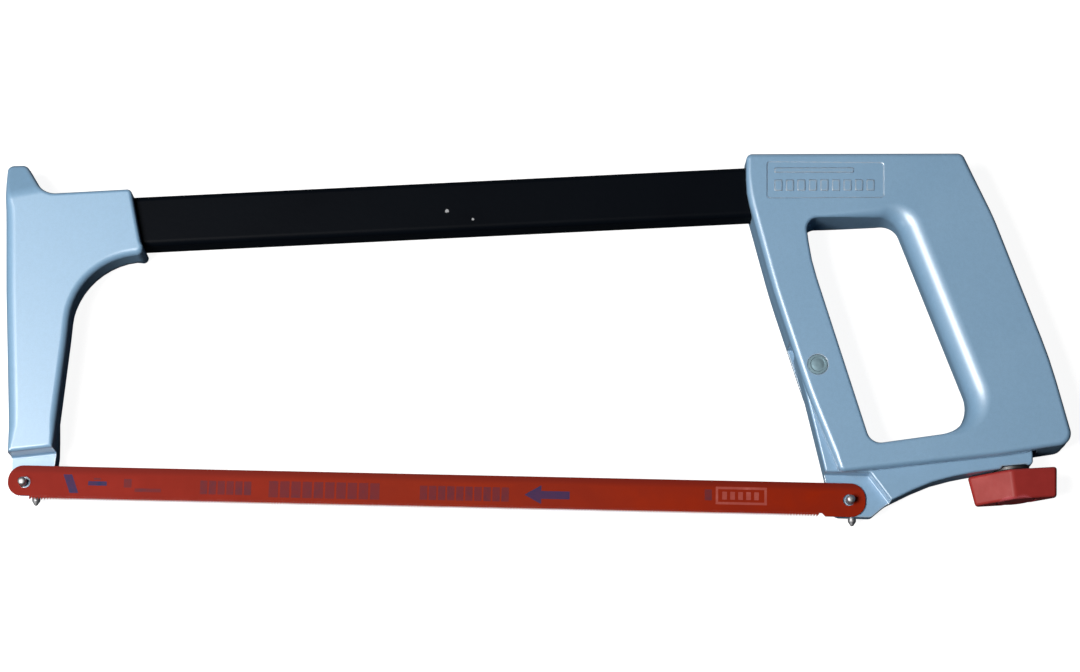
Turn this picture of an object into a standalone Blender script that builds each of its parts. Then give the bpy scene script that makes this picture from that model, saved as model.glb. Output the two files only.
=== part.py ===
"""A hacksaw with a screw-tensioned blade, lying on its far side.

World axes: +X runs along the blade from the front casting to the handle, +Y from the blade to the
frame tube, +Z out of the side that faces up. The origin is the centre of the footprint.

Lengths below are millimetres in the saw's own frame, whose origin is the centre of the blade's
front hole in the middle plane of the frame. place() turns them into world metres.
"""

import math

import bmesh
import bpy
from mathutils import Matrix, Vector

MM = 0.001

# Overall extent in the saw's frame, which fixes where the origin goes.
SAW_X_RANGE = (-12.75, 380.05)
SAW_Y_RANGE = (-8.6, 129.6)

# Castings
HALF_THICKNESS = 10.5
CASTING_ROUNDING = 1.4
HANDLE_ROUNDING = 1.8
FIT_GAP = 0.25

# Blade: 300 mm between hole centres
BLADE_SPAN = 300.0
BLADE_WIDTH = 12.4
BLADE_THICKNESS = 0.65
BLADE_END = 6.1
BLADE_HOLE_RADIUS = 2.1
SEAT_Z = -0.15

# Pins
BLADE_PIN_RADIUS = 1.5
BEARING_GAP = 0.06
PIN_OFFSET = BLADE_HOLE_RADIUS - BLADE_PIN_RADIUS - BEARING_GAP
BLADE_PIN_Z = (-8.0, 4.2)
FLUSH_PIN_RADIUS = 1.5
FLUSH_PIN_Z = -5.2
FRONT_FLUSH_PIN = (3.7, -7.6, 0.5)
REAR_FLUSH_PIN = (301.7, -8.6, -2.4)
FLUSH_PIN_TIP = 1.6
PIN_GAP = 0.12

# Frame tube: 19 x 12.7 x 1.5, rising toward the handle
TUBE_HEIGHT = 19.05
TUBE_DEPTH = 12.7
TUBE_WALL = 1.5
TUBE_CORNER = 2.2
TUBE_SLOPE = 0.0725
TUBE_CENTRE_AT_FRONT = 95.0
TUBE_X = (11.5, 302.0)
TUBE_PIN_RADIUS = 2.0
TUBE_PINS_FRONT = (18.0, 31.0)
TUBE_PINS_REAR = (271.0, 292.0)
TUBE_PIN_Z = (-10.3, -4.2)

# Tension lever
PIVOT = (287.8, 48.1)
PIVOT_RADIUS = 3.6
PIVOT_PIN_Z = (-10.3, 10.7)
LEVER_HALF = 6.0
SLOT_HALF = 6.5

# Tension screw, M6 x 1, whose axis leans forward
KNOB_CENTRE = (360.2, 6.2)
SCREW_LEAN = math.radians(6.5)
SCREW_RADIUS = 2.95
SCREW_TOP = 34.5
THREAD_GAP = 0.2
HEAD_RADIUS = 5.6
HEAD_HEIGHT = 4.0
FOOT_HOLE_RADIUS = 4.1
NUT_Y = 31.0
NUT_RADIUS = 5.5
NUT_Z = (-8.6, 6.6)
WASHER_RADIUS = 6.4
WASHER_FROM = 5.7
WASHER_THICKNESS = 1.2
SPOT_FACE_RADIUS = 7.4

# Knob: a winged grip, wider at the foot than at its free end
KNOB_HALF_LENGTH = 15.8
KNOB_HALF_WIDTH = 8.6
KNOB_HALF_HEIGHT = 5.45
KNOB_TAPER = 0.88
KNOB_REST_TURN = math.radians(-10.0)
CAP_RADIUS = 6.6
CAP_THICKNESS = 1.2

# Finger hole edges: rounding at the frame side and at the grip side
HOLE_ROUNDING = 1.2
GRIP_ROUNDING = 7.4
GRIP_NORMAL = Vector((0.936, 0.352))
GRIP_REACH = (305.0, 334.0)

SIDES = 32


def place(x, y, z=0.0):
    """World position in metres of a point given in the saw's frame."""
    centre_x = sum(SAW_X_RANGE) / 2
    centre_y = sum(SAW_Y_RANGE) / 2
    return Vector(((x - centre_x) * MM, (y - centre_y) * MM, (z + HALF_THICKNESS) * MM))


def clear_scene():
    """Remove what the file holds, so that the script can run again."""
    for old in list(bpy.data.objects):
        bpy.data.objects.remove(old, do_unlink=True)
    for old in list(bpy.data.collections):
        bpy.data.collections.remove(old)


def new_collection(name):
    collection = bpy.data.collections.new(name)
    bpy.context.scene.collection.children.link(collection)
    return collection


def material(name, colour, roughness, metallic):
    """A Principled material with linear base colour."""
    made = bpy.data.materials.new(name)
    made.use_nodes = True
    shader = made.node_tree.nodes["Principled BSDF"]
    shader.inputs["Base Color"].default_value = (*colour, 1.0)
    shader.inputs["Roughness"].default_value = roughness
    shader.inputs["Metallic"].default_value = metallic
    return made


def rounded(corners):
    """Points of a closed outline whose corners, given as (x, y, radius), are arcs."""
    points = []
    count = len(corners)
    for index, (x, y, radius) in enumerate(corners):
        corner = Vector((x, y))
        before = Vector(corners[index - 1][:2])
        after = Vector(corners[(index + 1) % count][:2])
        to_before = (before - corner).normalized()
        to_after = (after - corner).normalized()
        half = to_before.angle(to_after) / 2
        if radius <= 0 or half > math.radians(89.7):
            points.append(corner)
            continue
        start = corner + to_before * (radius / math.tan(half))
        end = corner + to_after * (radius / math.tan(half))
        centre = corner + (to_before + to_after).normalized() * (radius / math.sin(half))
        sweep = math.pi - 2 * half
        steps = max(2, math.ceil(sweep / math.radians(13)))
        turn = math.copysign(sweep, (start - centre).cross(end - centre))
        for step in range(steps + 1):
            angle = turn * step / steps
            points.append(centre + Matrix.Rotation(angle, 2) @ (start - centre))
    return points


def keep(obj, collection, finish=None):
    """Put an object in its collection, with its material."""
    collection.objects.link(obj)
    if finish:
        obj.data.materials.clear()
        obj.data.materials.append(finish)
    return obj


def prism(name, outline, low, high, collection, finish=None, frame=None, origin=(0.0, 0.0, 0.0)):
    """A flat outline filled and extruded from low to high along its own Z.

    frame is the local-to-world matrix; without it the outline is in the saw's frame, and the
    object's origin is at origin there.
    """
    curve = bpy.data.curves.new(name, "CURVE")
    curve.dimensions = "2D"
    curve.fill_mode = "BOTH"
    curve.extrude = (high - low) * MM / 2
    spline = curve.splines.new("POLY")
    spline.points.add(len(outline) - 1)
    for point, (x, y) in zip(spline.points, outline):
        point.co = ((x - origin[0]) * MM, (y - origin[1]) * MM, 0.0, 1.0)
    spline.use_cyclic_u = True
    flat = bpy.data.objects.new(name + "_outline", curve)
    bpy.context.scene.collection.objects.link(flat)
    bpy.context.view_layer.update()
    mesh = bpy.data.meshes.new_from_object(flat.evaluated_get(bpy.context.evaluated_depsgraph_get()))
    bpy.data.objects.remove(flat, do_unlink=True)
    mesh.transform(Matrix.Translation((0, 0, ((high + low) / 2 - origin[2]) * MM)))
    weld(mesh)
    made = bpy.data.objects.new(name, mesh)
    made.matrix_world = frame if frame else Matrix.Translation(place(*origin))
    return keep(made, collection, finish)


def weld(mesh):
    """Join a mesh's loose caps to its walls and clear its flat faces of inner edges."""
    work = bmesh.new()
    work.from_mesh(mesh)
    bmesh.ops.remove_doubles(work, verts=work.verts, dist=1e-6)
    bmesh.ops.dissolve_limit(work, angle_limit=math.radians(0.5), verts=work.verts, edges=work.edges)
    bmesh.ops.recalc_face_normals(work, faces=work.faces)
    work.to_mesh(mesh)
    work.free()


def rod(name, radius, start, end, collection, finish=None, sides=SIDES):
    """A cylinder from start to end in the saw's frame, with its origin at start."""
    first = place(*start)
    axis = place(*end) - first
    mesh = bpy.data.meshes.new(name)
    work = bmesh.new()
    bmesh.ops.create_cone(
        work, cap_ends=True, segments=sides, radius1=radius * MM, radius2=radius * MM, depth=axis.length
    )
    turn = Vector((0, 0, 1)).rotation_difference(axis).to_matrix().to_4x4()
    bmesh.ops.transform(work, matrix=Matrix.Translation(axis / 2) @ turn, verts=work.verts)
    work.to_mesh(mesh)
    work.free()
    made = bpy.data.objects.new(name, mesh)
    made.location = first
    return keep(made, collection, finish)


def turns_with(axis, *pieces):
    """Parent pieces to the empty that marks their joint's axis."""
    for piece in pieces:
        piece.parent = axis
        piece.matrix_parent_inverse = Matrix.Translation(-axis.location)


def round_edges(obj, width, segments=3, angle=40):
    """Round the sharp edges."""
    bevel = obj.modifiers.new("rounding", "BEVEL")
    bevel.width = width * MM
    bevel.segments = segments
    bevel.limit_method = "ANGLE"
    bevel.angle_limit = math.radians(angle)


def cut(obj, *cutters):
    """Take the cutters away from an object."""
    for cutter in cutters:
        boolean = obj.modifiers.new(cutter.name, "BOOLEAN")
        boolean.operation = "DIFFERENCE"
        boolean.solver = "EXACT"
        boolean.object = cutter
        cutter.hide_render = True
        cutter.display_type = "WIRE"


def tube_centre(x):
    """Height of the tube's centre line over the blade's centre line."""
    return TUBE_CENTRE_AT_FRONT + TUBE_SLOPE * x


def tube_frame(x=0.0):
    """Frame whose Z runs along the tube and whose X is the tube's height."""
    angle = math.atan(TUBE_SLOPE)
    along = Vector((math.cos(angle), math.sin(angle), 0))
    height = Vector((-math.sin(angle), math.cos(angle), 0))
    turn = Matrix((height, Vector((0, 0, 1)), along)).transposed()
    return Matrix.Translation(place(x, tube_centre(x))) @ turn.to_4x4()


def tube_outline(grow=0.0):
    """The tube's section, larger or smaller by grow."""
    high = TUBE_HEIGHT / 2 + grow
    wide = TUBE_DEPTH / 2 + grow
    corner = TUBE_CORNER + grow
    return rounded([(high, wide, corner), (-high, wide, corner), (-high, -wide, corner), (high, -wide, corner)])


def screw_axis():
    """Unit vector along the tension screw, from the knob to the nut."""
    return Vector((-math.sin(SCREW_LEAN), math.cos(SCREW_LEAN), 0))


def on_screw(distance):
    """Point of the saw's frame at a distance along the screw from the knob's centre."""
    axis = screw_axis()
    return (KNOB_CENTRE[0] + axis.x * distance, KNOB_CENTRE[1] + axis.y * distance, 0.0)


def screw_frame(turn=0.0):
    """Frame whose Z is the screw's axis and whose origin is the knob's centre."""
    axis = screw_axis()
    across = Vector((axis.y, -axis.x, 0))
    basis = Matrix((across, Vector((0, 0, -1)), axis)).transposed().to_4x4()
    return Matrix.Translation(place(*KNOB_CENTRE)) @ basis @ Matrix.Rotation(turn, 4, "Z")


def hexagon(radius):
    return [(radius * math.cos(math.tau * k / 6), radius * math.sin(math.tau * k / 6)) for k in range(6)]


def tube_pin(name, x, parts, finish):
    """One pin that locks the tube in a casting, driven in from the far side."""
    y = tube_centre(x)
    return rod(name, TUBE_PIN_RADIUS, (x, y, TUBE_PIN_Z[0]), (x, y, TUBE_PIN_Z[1]), parts, finish, 20)


def tube_pin_bore(name, x, cutters):
    y = tube_centre(x)
    radius = TUBE_PIN_RADIUS + PIN_GAP
    return rod(name, radius, (x, y, -HALF_THICKNESS - 1), (x, y, TUBE_PIN_Z[1] + 0.3), cutters, sides=20)


def top_tube(parts, cutters, finish):
    """The rectangular frame tube, open at both ends."""
    length = (TUBE_X[1] - TUBE_X[0]) / math.cos(math.atan(TUBE_SLOPE))
    frame = tube_frame(TUBE_X[0])
    tube = prism("top_tube", tube_outline(), 0, length, parts, finish, frame)
    bore = prism("tube_bore", tube_outline(-TUBE_WALL), -2, length + 2, cutters, frame=frame)
    cut(tube, bore)
    return tube


def tube_socket(name, x_from, x_to, cutters):
    """The pocket that a casting holds the tube in."""
    length = (x_to - x_from) / math.cos(math.atan(TUBE_SLOPE))
    return prism(name, tube_outline(FIT_GAP), 0, length, cutters, frame=tube_frame(x_from))


def front_casting(parts, cutters, finish):
    """The front end: socket for the tube above, seat for the blade below, a horn at the nose."""
    outline = rounded([
        (-12.8, 117.4, 1.8),
        (-9.9, 70.0, 300),
        (-5.1, 10.0, 200),
        (-5.2, -5.4, 5.0),
        (9.4, -5.4, 5.0),
        (10.8, 10.3, 60),
        (13.8, 52.0, 200),
        (15.6, 78.6, 26),
        (41.6, 82.6, 2.2),
        (38.5, 89.0, 15),
        (34.3, 109.0, 1.8),
        (2.2, 106.5, 7.5),
        (-5.6, 117.6, 2.6),
    ])
    casting = prism("front_casting", outline, -HALF_THICKNESS, HALF_THICKNESS, parts, finish)
    round_edges(casting, CASTING_ROUNDING)
    seat = prism("front_seat_cut", [(-20, -12), (20, -12), (20, 10.3), (-20, 10.3)],
                 SEAT_Z, HALF_THICKNESS + 3, cutters)
    socket = tube_socket("front_socket", TUBE_X[0] - FIT_GAP, 60, cutters)
    pin_bore = blade_pin("front_pin_bore", -PIN_OFFSET, cutters, None, PIN_GAP)
    flush_bore = flush_pin("front_flush_bore", FRONT_FLUSH_PIN, cutters, None, PIN_GAP)
    cut(casting, seat, socket, pin_bore, flush_bore, *horn_tapers(cutters))
    for number, x in enumerate(TUBE_PINS_FRONT, 1):
        cut(casting, tube_pin_bore(f"front_tube_pin_bore_{number}", x, cutters))
    return casting


def horn_tapers(cutters):
    """Two wedges that thin the horn toward its tip."""
    wedges = []
    for side in (-1, 1):
        bpy.ops.mesh.primitive_cube_add(size=1)
        wedge = bpy.context.object
        wedge.name = "horn_taper_near" if side > 0 else "horn_taper_far"
        wedge.data.transform(Matrix.Diagonal((24 * MM, 16 * MM, 4 * MM, 1)))
        wedge.data.transform(Matrix.Translation((0, 8 * MM, 2 * MM * side)))
        wedge.location = place(-6, 107.5, HALF_THICKNESS * side)
        wedge.rotation_euler = (math.radians(-17) * side, 0, math.radians(-18))
        for owner in list(wedge.users_collection):
            owner.objects.unlink(wedge)
        keep(wedge, cutters)
        wedges.append(wedge)
    return wedges


def blade_pin(name, x, collection, finish, gap=0.0):
    """A pin that the blade hooks over, or with a gap its bore."""
    low, high = BLADE_PIN_Z
    radius = BLADE_PIN_RADIUS + gap
    pin = rod(name, radius, (x, 0, low - gap), (x, 0, high + gap), collection, finish, 24)
    if not gap:
        round_edges(pin, 0.45, 2)
    return pin


def flush_pin(name, where, collection, finish, gap=0.0):
    """A pointed pin for mounting the blade flat, or with a gap its bore."""
    x, low, high = where
    neck = low + FLUSH_PIN_TIP
    if gap:
        return rod(name, FLUSH_PIN_RADIUS + gap, (x, low - 2, FLUSH_PIN_Z), (x, high + gap, FLUSH_PIN_Z),
                   collection, sides=24)
    profile = bpy.data.meshes.new(name)
    work = bmesh.new()
    steps = [(0, high), (FLUSH_PIN_RADIUS, high), (FLUSH_PIN_RADIUS, neck), (0.35, low), (0, low)]
    corners = [work.verts.new((radius * MM, 0, (y - high) * MM)) for radius, y in steps]
    for first, last in zip(corners, corners[1:]):
        work.edges.new((first, last))
    work.to_mesh(profile)
    work.free()
    pin = bpy.data.objects.new(name, profile)
    pin.location = place(x, high, FLUSH_PIN_Z)
    pin.rotation_euler = (math.radians(-90), 0, 0)
    turned = pin.modifiers.new("turned", "SCREW")
    turned.axis = "Z"
    turned.steps = turned.render_steps = 24
    turned.use_merge_vertices = True
    turned.merge_threshold = 0.00001
    turned.use_normal_calculate = True
    return keep(pin, collection, finish)


def handle_casting(parts, cutters, finish):
    """The closed handle: tube socket, finger hole, lever slot, nut bore and nameplate recess."""
    outline = rounded([
        (261.3, 127.6, 2.2),
        (261.4, 113.0, 40),
        (271.4, 76.5, 250),
        (284.0, 38.5, 200),
        (296.0, 8.6, 2.6),
        (355.0, 16.5, 100),
        (380.9, 21.2, 3.4),
        (372.4, 52.5, 170),
        (352.6, 105.3, 90),
        (341.3, 129.6, 2.8),
    ])
    handle = prism("handle_casting", outline, -HALF_THICKNESS, HALF_THICKNESS, parts, finish)
    round_edges(handle, HANDLE_ROUNDING)
    x, y = PIVOT
    nut_x = on_screw((NUT_Y - KNOB_CENTRE[1]) / math.cos(SCREW_LEAN))[0]
    nameplate = prism("nameplate_cut", rounded([(269, 124.4, 1), (269, 110.6, 1), (312, 111.8, 1), (312, 125.0, 1)]),
                      HALF_THICKNESS - 0.4, HALF_THICKNESS + 2, cutters)
    cut(
        handle,
        finger_hole(cutters),
        lever_slot(cutters),
        tube_socket("rear_socket", 240, TUBE_X[1] + FIT_GAP, cutters),
        rod("pivot_bore", PIVOT_RADIUS + PIN_GAP, (x, y, -HALF_THICKNESS - 1), (x, y, HALF_THICKNESS + 1), cutters),
        rod("nut_bore", NUT_RADIUS + FIT_GAP, (nut_x, NUT_Y, -HALF_THICKNESS - 1),
            (nut_x, NUT_Y, NUT_Z[1] + FIT_GAP), cutters),
        rod("screw_bore", FOOT_HOLE_RADIUS, on_screw(14), on_screw(SCREW_TOP + 1.5), cutters),
        nameplate,
    )
    for number, pin_x in enumerate(TUBE_PINS_REAR, 1):
        cut(handle, tube_pin_bore(f"rear_tube_pin_bore_{number}", pin_x, cutters))
    return handle


def finger_hole(cutters):
    """Cutter for the finger hole: a loft whose ends flare, most of all along the grip."""
    outline = rounded([
        (283.2, 103.6, 4.5),
        (285.4, 87.5, 80),
        (307.2, 19.2, 5.0),
        (347.4, 25.8, 12.0),
        (318.0, 105.0, 7.5),
    ])
    count = len(outline)
    normals = []
    for index in range(count):
        along = outline[(index + 1) % count] - outline[index - 1]
        normals.append(Vector((along.y, -along.x)).normalized())
    quarter = [math.radians(angle) for angle in (0, 18, 36, 54, 72, 90)]
    rings = [(-1, angle) for angle in reversed(quarter)] + [(1, angle) for angle in quarter]
    mesh = bpy.data.meshes.new("finger_hole")
    work = bmesh.new()
    loops = []
    for side, angle in [(-1, None)] + rings + [(1, None)]:
        loop = []
        for point, normal in zip(outline, normals):
            width = edge_rounding(point, normal)
            grown = width * (1 - math.cos(math.pi / 2 if angle is None else angle))
            height = HALF_THICKNESS + 1 if angle is None else HALF_THICKNESS - width * (1 - math.sin(angle))
            x, y = point + normal * grown
            loop.append(work.verts.new(place(x, y, side * height)))
        loops.append(loop)
    for low, high in zip(loops, loops[1:]):
        for index in range(count):
            after = (index + 1) % count
            work.faces.new((low[index], low[after], high[after], high[index]))
    work.faces.new(reversed(loops[0]))
    work.faces.new(loops[-1])
    bmesh.ops.recalc_face_normals(work, faces=work.faces)
    work.to_mesh(mesh)
    work.free()
    return keep(bpy.data.objects.new("finger_hole", mesh), cutters)


def edge_rounding(point, normal):
    """Radius of the finger hole's edge: widest where the hole faces the grip."""
    near, far = GRIP_REACH
    reach = min(1.0, max(0.0, (point.dot(GRIP_NORMAL) - near) / (far - near)))
    share = reach * reach * (3 - 2 * reach) * max(0.0, normal.dot(GRIP_NORMAL)) ** 0.9
    return HOLE_ROUNDING + (GRIP_ROUNDING - HOLE_ROUNDING) * share


def lever_slot(cutters):
    """Cutter for the slot in the front leg and the foot of the handle."""
    outline = rounded([
        (268.0, 57.0, 0),
        (268.0, -6.0, 0),
        (368.0, -6.0, 0),
        (368.0, 24.4, 1.5),
        (332.0, 18.4, 30),
        (305.2, 15.6, 4.5),
        (300.4, 25.4, 20),
        (295.0, 46.5, 20),
        (294.8, 57.0, 5),
    ])
    return prism("lever_slot", outline, -SLOT_HALF, SLOT_HALF, cutters)


def tension_lever(parts, cutters, finish):
    """The bell crank that carries the rear blade pin and is drawn up by the knob."""
    outline = rounded([
        (279.2, 55.0, 2.8),
        (283.9, 38.2, 60),
        (287.2, 25.0, 120),
        (292.1, 5.0, 60),
        (294.4, -5.9, 3.2),
        (308.2, -6.0, 2.6),
        (313.2, -1.6, 12),
        (329.6, 6.9, 60),
        (344.3, 10.2, 80),
        (366.4, 13.7, 1.6),
        (366.4, 23.6, 1.6),
        (331.6, 17.8, 30),
        (304.2, 14.9, 5.5),
        (299.4, 25.0, 20),
        (293.9, 46.5, 10),
        (293.9, 55.0, 5),
    ])
    lever = prism("tension_lever", outline, -LEVER_HALF, LEVER_HALF, parts, finish, origin=(*PIVOT, 0.0))
    round_edges(lever, 0.9, 2)
    x, y = PIVOT
    seat = prism("rear_seat_cut", [(286, -12), (323.5, -12), (307.2, 9.3), (286, 9.3)],
                 SEAT_Z, LEVER_HALF + 2, cutters)
    cut(
        lever,
        seat,
        rod("lever_bore", PIVOT_RADIUS + PIN_GAP, (x, y, -LEVER_HALF - 1), (x, y, LEVER_HALF + 1), cutters),
        rear_pin_bore(cutters),
        flush_pin("rear_flush_bore", REAR_FLUSH_PIN, cutters, None, PIN_GAP),
        rod("foot_hole", FOOT_HOLE_RADIUS, on_screw(3), on_screw(24), cutters),
        rod("spot_face", SPOT_FACE_RADIUS, on_screw(-1), on_screw(WASHER_FROM + WASHER_THICKNESS + FIT_GAP), cutters),
    )
    return lever


def rear_pin_bore(cutters):
    """The rear blade pin's bore, closed inside the lever."""
    x = BLADE_SPAN + PIN_OFFSET
    return rod("rear_pin_bore", BLADE_PIN_RADIUS + PIN_GAP, (x, 0, -4.6 - PIN_GAP), (x, 0, 6), cutters, sides=24)


def rear_blade_pin(parts, finish):
    """The pin on the lever that pulls the blade."""
    x = BLADE_SPAN + PIN_OFFSET
    pin = rod("rear_blade_pin", BLADE_PIN_RADIUS, (x, 0, -4.6), (x, 0, BLADE_PIN_Z[1]), parts, finish, 24)
    round_edges(pin, 0.45, 2)
    return pin


def blade(parts, cutters, finish):
    """The saw blade as a plain strip with its two holes."""
    half = BLADE_WIDTH / 2
    outline = rounded([
        (-BLADE_END, half, 5.6),
        (-BLADE_END, -half, 5.6),
        (BLADE_SPAN + BLADE_END, -half, 5.6),
        (BLADE_SPAN + BLADE_END, half, 5.6),
    ])
    strip = prism("blade", outline, 0, BLADE_THICKNESS, parts, finish)
    for name, x in (("front", 0), ("rear", BLADE_SPAN)):
        cut(strip, rod(name + "_blade_hole", BLADE_HOLE_RADIUS, (x, 0, -2), (x, 0, 3), cutters))
    return strip


def pivot_pin(parts, finish):
    """The lever's hinge pin, with a shallow dish in each end."""
    x, y = PIVOT
    pin = rod("lever_pivot_pin", PIVOT_RADIUS, (x, y, PIVOT_PIN_Z[0]), (x, y, PIVOT_PIN_Z[1]), parts, finish)
    round_edges(pin, 0.3, 2)
    return pin


def trunnion_nut(parts, cutters, finish):
    """The barrel nut that swivels in the handle, threaded across for the screw."""
    axis_point = on_screw((NUT_Y - KNOB_CENTRE[1]) / math.cos(SCREW_LEAN))
    x = axis_point[0]
    nut = rod("trunnion_nut", NUT_RADIUS, (x, NUT_Y, NUT_Z[0]), (x, NUT_Y, NUT_Z[1]), parts, finish)
    round_edges(nut, 0.4, 2)
    cut(nut, rod("nut_thread", SCREW_RADIUS + THREAD_GAP, on_screw(15), on_screw(38), cutters, sides=24))
    return nut


def thrust_washer(parts, cutters, finish):
    """The washer between the knob and the lever's foot."""
    top = WASHER_FROM + WASHER_THICKNESS
    washer = rod("thrust_washer", WASHER_RADIUS, on_screw(WASHER_FROM), on_screw(top), parts, finish)
    cut(washer, rod("washer_hole", SCREW_RADIUS + FIT_GAP, on_screw(0), on_screw(top + 3), cutters, sides=24))
    return washer


def tension_screw(parts, cutters, finish):
    """A hexagon-headed screw whose head sits in the knob."""
    head_low = -KNOB_HALF_HEIGHT + CAP_THICKNESS + 0.3
    screw = prism("tension_screw", hexagon(HEAD_RADIUS), head_low, head_low + HEAD_HEIGHT,
                  parts, finish, screw_frame(KNOB_REST_TURN))
    shank = rod("screw_shank", SCREW_RADIUS, on_screw(head_low + 1), on_screw(SCREW_TOP), cutters, sides=24)
    round_edges(shank, 0.5, 2)
    cut(screw, shank)
    screw.modifiers[shank.name].operation = "UNION"
    return screw


def knob(parts, cutters, finish):
    """The winged knob, with a pocket for the screw's head and a cap over it."""
    frame = screw_frame(KNOB_REST_TURN)
    long, wide = KNOB_HALF_LENGTH, KNOB_HALF_WIDTH
    outline = rounded([
        (long, 2.2, 1.6),
        (0, wide, 3.0),
        (-long, 2.2, 1.6),
        (-long, -2.2, 1.6),
        (0, -wide, 3.0),
        (long, -2.2, 1.6),
    ])
    made = prism("tension_knob", outline, -KNOB_HALF_HEIGHT, KNOB_HALF_HEIGHT, parts, finish, frame)
    for corner in made.data.vertices:
        if corner.co.z < 0:
            corner.co.x *= KNOB_TAPER
            corner.co.y *= KNOB_TAPER
    round_edges(made, 0.8, 2, 50)
    head_low = -KNOB_HALF_HEIGHT + CAP_THICKNESS + 0.3
    cut(
        made,
        prism("head_pocket", hexagon(HEAD_RADIUS + FIT_GAP), -KNOB_HALF_HEIGHT - 2,
              head_low + HEAD_HEIGHT + FIT_GAP, cutters, frame=frame),
        rod("cap_pocket", CAP_RADIUS + FIT_GAP, on_screw(-KNOB_HALF_HEIGHT - 2),
            on_screw(-KNOB_HALF_HEIGHT + CAP_THICKNESS), cutters),
        rod("knob_hole", SCREW_RADIUS + FIT_GAP, on_screw(-2), on_screw(8), cutters, sides=24),
    )
    return made


def knob_cap(parts, finish):
    """The disc that closes the knob's pocket."""
    low = -KNOB_HALF_HEIGHT
    return rod("knob_cap", CAP_RADIUS, on_screw(low), on_screw(low + CAP_THICKNESS - 0.15), parts, finish)


def main():
    clear_scene()
    parts = new_collection("hacksaw")
    cutters = new_collection("cutters")
    cast = material("cast_aluminium", (0.30, 0.42, 0.54), 0.42, 0.65)
    tube_paint = material("black_tube", (0.008, 0.009, 0.012), 0.38, 0.2)
    blade_paint = material("orange_blade", (0.36, 0.032, 0.008), 0.42, 0.1)
    steel = material("bright_steel", (0.55, 0.56, 0.58), 0.3, 1.0)
    dark_steel = material("dark_steel", (0.22, 0.23, 0.25), 0.42, 1.0)
    red = material("red_plastic", (0.36, 0.045, 0.04), 0.4, 0.0)

    front_casting(parts, cutters, cast)
    tube = top_tube(parts, cutters, tube_paint)
    handle_casting(parts, cutters, cast)
    lever_axis = bpy.data.objects.new("lever_axis", None)
    lever_axis.location = place(*PIVOT)
    keep(lever_axis, parts)
    turns_with(
        lever_axis,
        tension_lever(parts, cutters, cast),
        rear_blade_pin(parts, steel),
        flush_pin("rear_flush_pin", REAR_FLUSH_PIN, parts, steel),
    )
    pivot_pin(parts, steel)
    trunnion_nut(parts, cutters, dark_steel)
    thrust_washer(parts, cutters, dark_steel)
    tension_screw(parts, cutters, dark_steel)
    knob(parts, cutters, red)
    knob_cap(parts, red)
    blade(parts, cutters, blade_paint)
    blade_pin("front_blade_pin", -PIN_OFFSET, parts, steel)
    flush_pin("front_flush_pin", FRONT_FLUSH_PIN, parts, steel)
    for end, places in (("front", TUBE_PINS_FRONT), ("rear", TUBE_PINS_REAR)):
        for number, x in enumerate(places, 1):
            tube_pin(f"{end}_tube_pin_{number}", x, parts, dark_steel)
            cut(tube, tube_pin_bore(f"{end}_tube_bore_{number}", x, cutters))


main()
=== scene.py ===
"""A hacksaw with a screw-tensioned blade, modelled and dressed around its CAD frame.

Sizes are millimetres in the saw's own frame: the origin is the centre of the blade's front hole in the
middle plane of the saw, +X runs along the blade to the handle, +Y from the blade to the tube and +Z out of
the side that faces up. A Datum turns them into the world metres of the CAD model.
"""

import logging
import math
from collections.abc import Callable, Iterable
from dataclasses import dataclass, field
from enum import Enum

import bmesh
import bpy
from mathutils import Matrix, Vector


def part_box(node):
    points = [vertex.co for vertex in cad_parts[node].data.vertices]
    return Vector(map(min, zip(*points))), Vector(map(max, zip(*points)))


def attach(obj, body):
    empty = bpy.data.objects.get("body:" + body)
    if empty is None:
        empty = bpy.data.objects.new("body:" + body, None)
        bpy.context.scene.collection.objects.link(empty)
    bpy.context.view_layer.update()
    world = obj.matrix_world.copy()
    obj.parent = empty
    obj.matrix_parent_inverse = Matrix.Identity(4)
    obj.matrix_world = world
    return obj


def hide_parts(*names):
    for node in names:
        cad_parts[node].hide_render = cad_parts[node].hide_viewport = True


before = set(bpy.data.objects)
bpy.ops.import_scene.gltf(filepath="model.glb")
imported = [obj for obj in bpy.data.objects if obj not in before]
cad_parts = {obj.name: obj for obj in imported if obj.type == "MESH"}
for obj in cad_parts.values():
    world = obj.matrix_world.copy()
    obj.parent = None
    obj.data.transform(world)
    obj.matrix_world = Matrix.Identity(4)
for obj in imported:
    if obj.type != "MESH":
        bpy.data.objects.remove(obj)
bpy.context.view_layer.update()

LOG = logging.getLogger("hacksaw")
MM = 0.001

Outline = list[Vector]
Corner = tuple[float, float, float]
Point = tuple[float, float]
Colour = tuple[float, float, float]
Width = float | Callable[[Vector, Vector], float]
Feed = bpy.types.NodeSocket | float | tuple[float, ...]


class Slot(Enum):
    """The record's material slots."""

    CAST = "cast_aluminium"
    TUBE = "black_tube"
    BLADE = "orange_blade"
    BRIGHT = "bright_steel"
    DARK = "dark_steel"
    RED = "red_plastic"


class Body(Enum):
    """The CAD bodies that pieces ride on."""

    FRAME = "frame"
    LEVER = "lever"
    NUT = "nut"
    WASHER = "washer"
    KNOB = "knob"
    BLADE = "blade"


# ---------------------------------------------------------------------------------------------------------
# Where things are
# ---------------------------------------------------------------------------------------------------------


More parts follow.
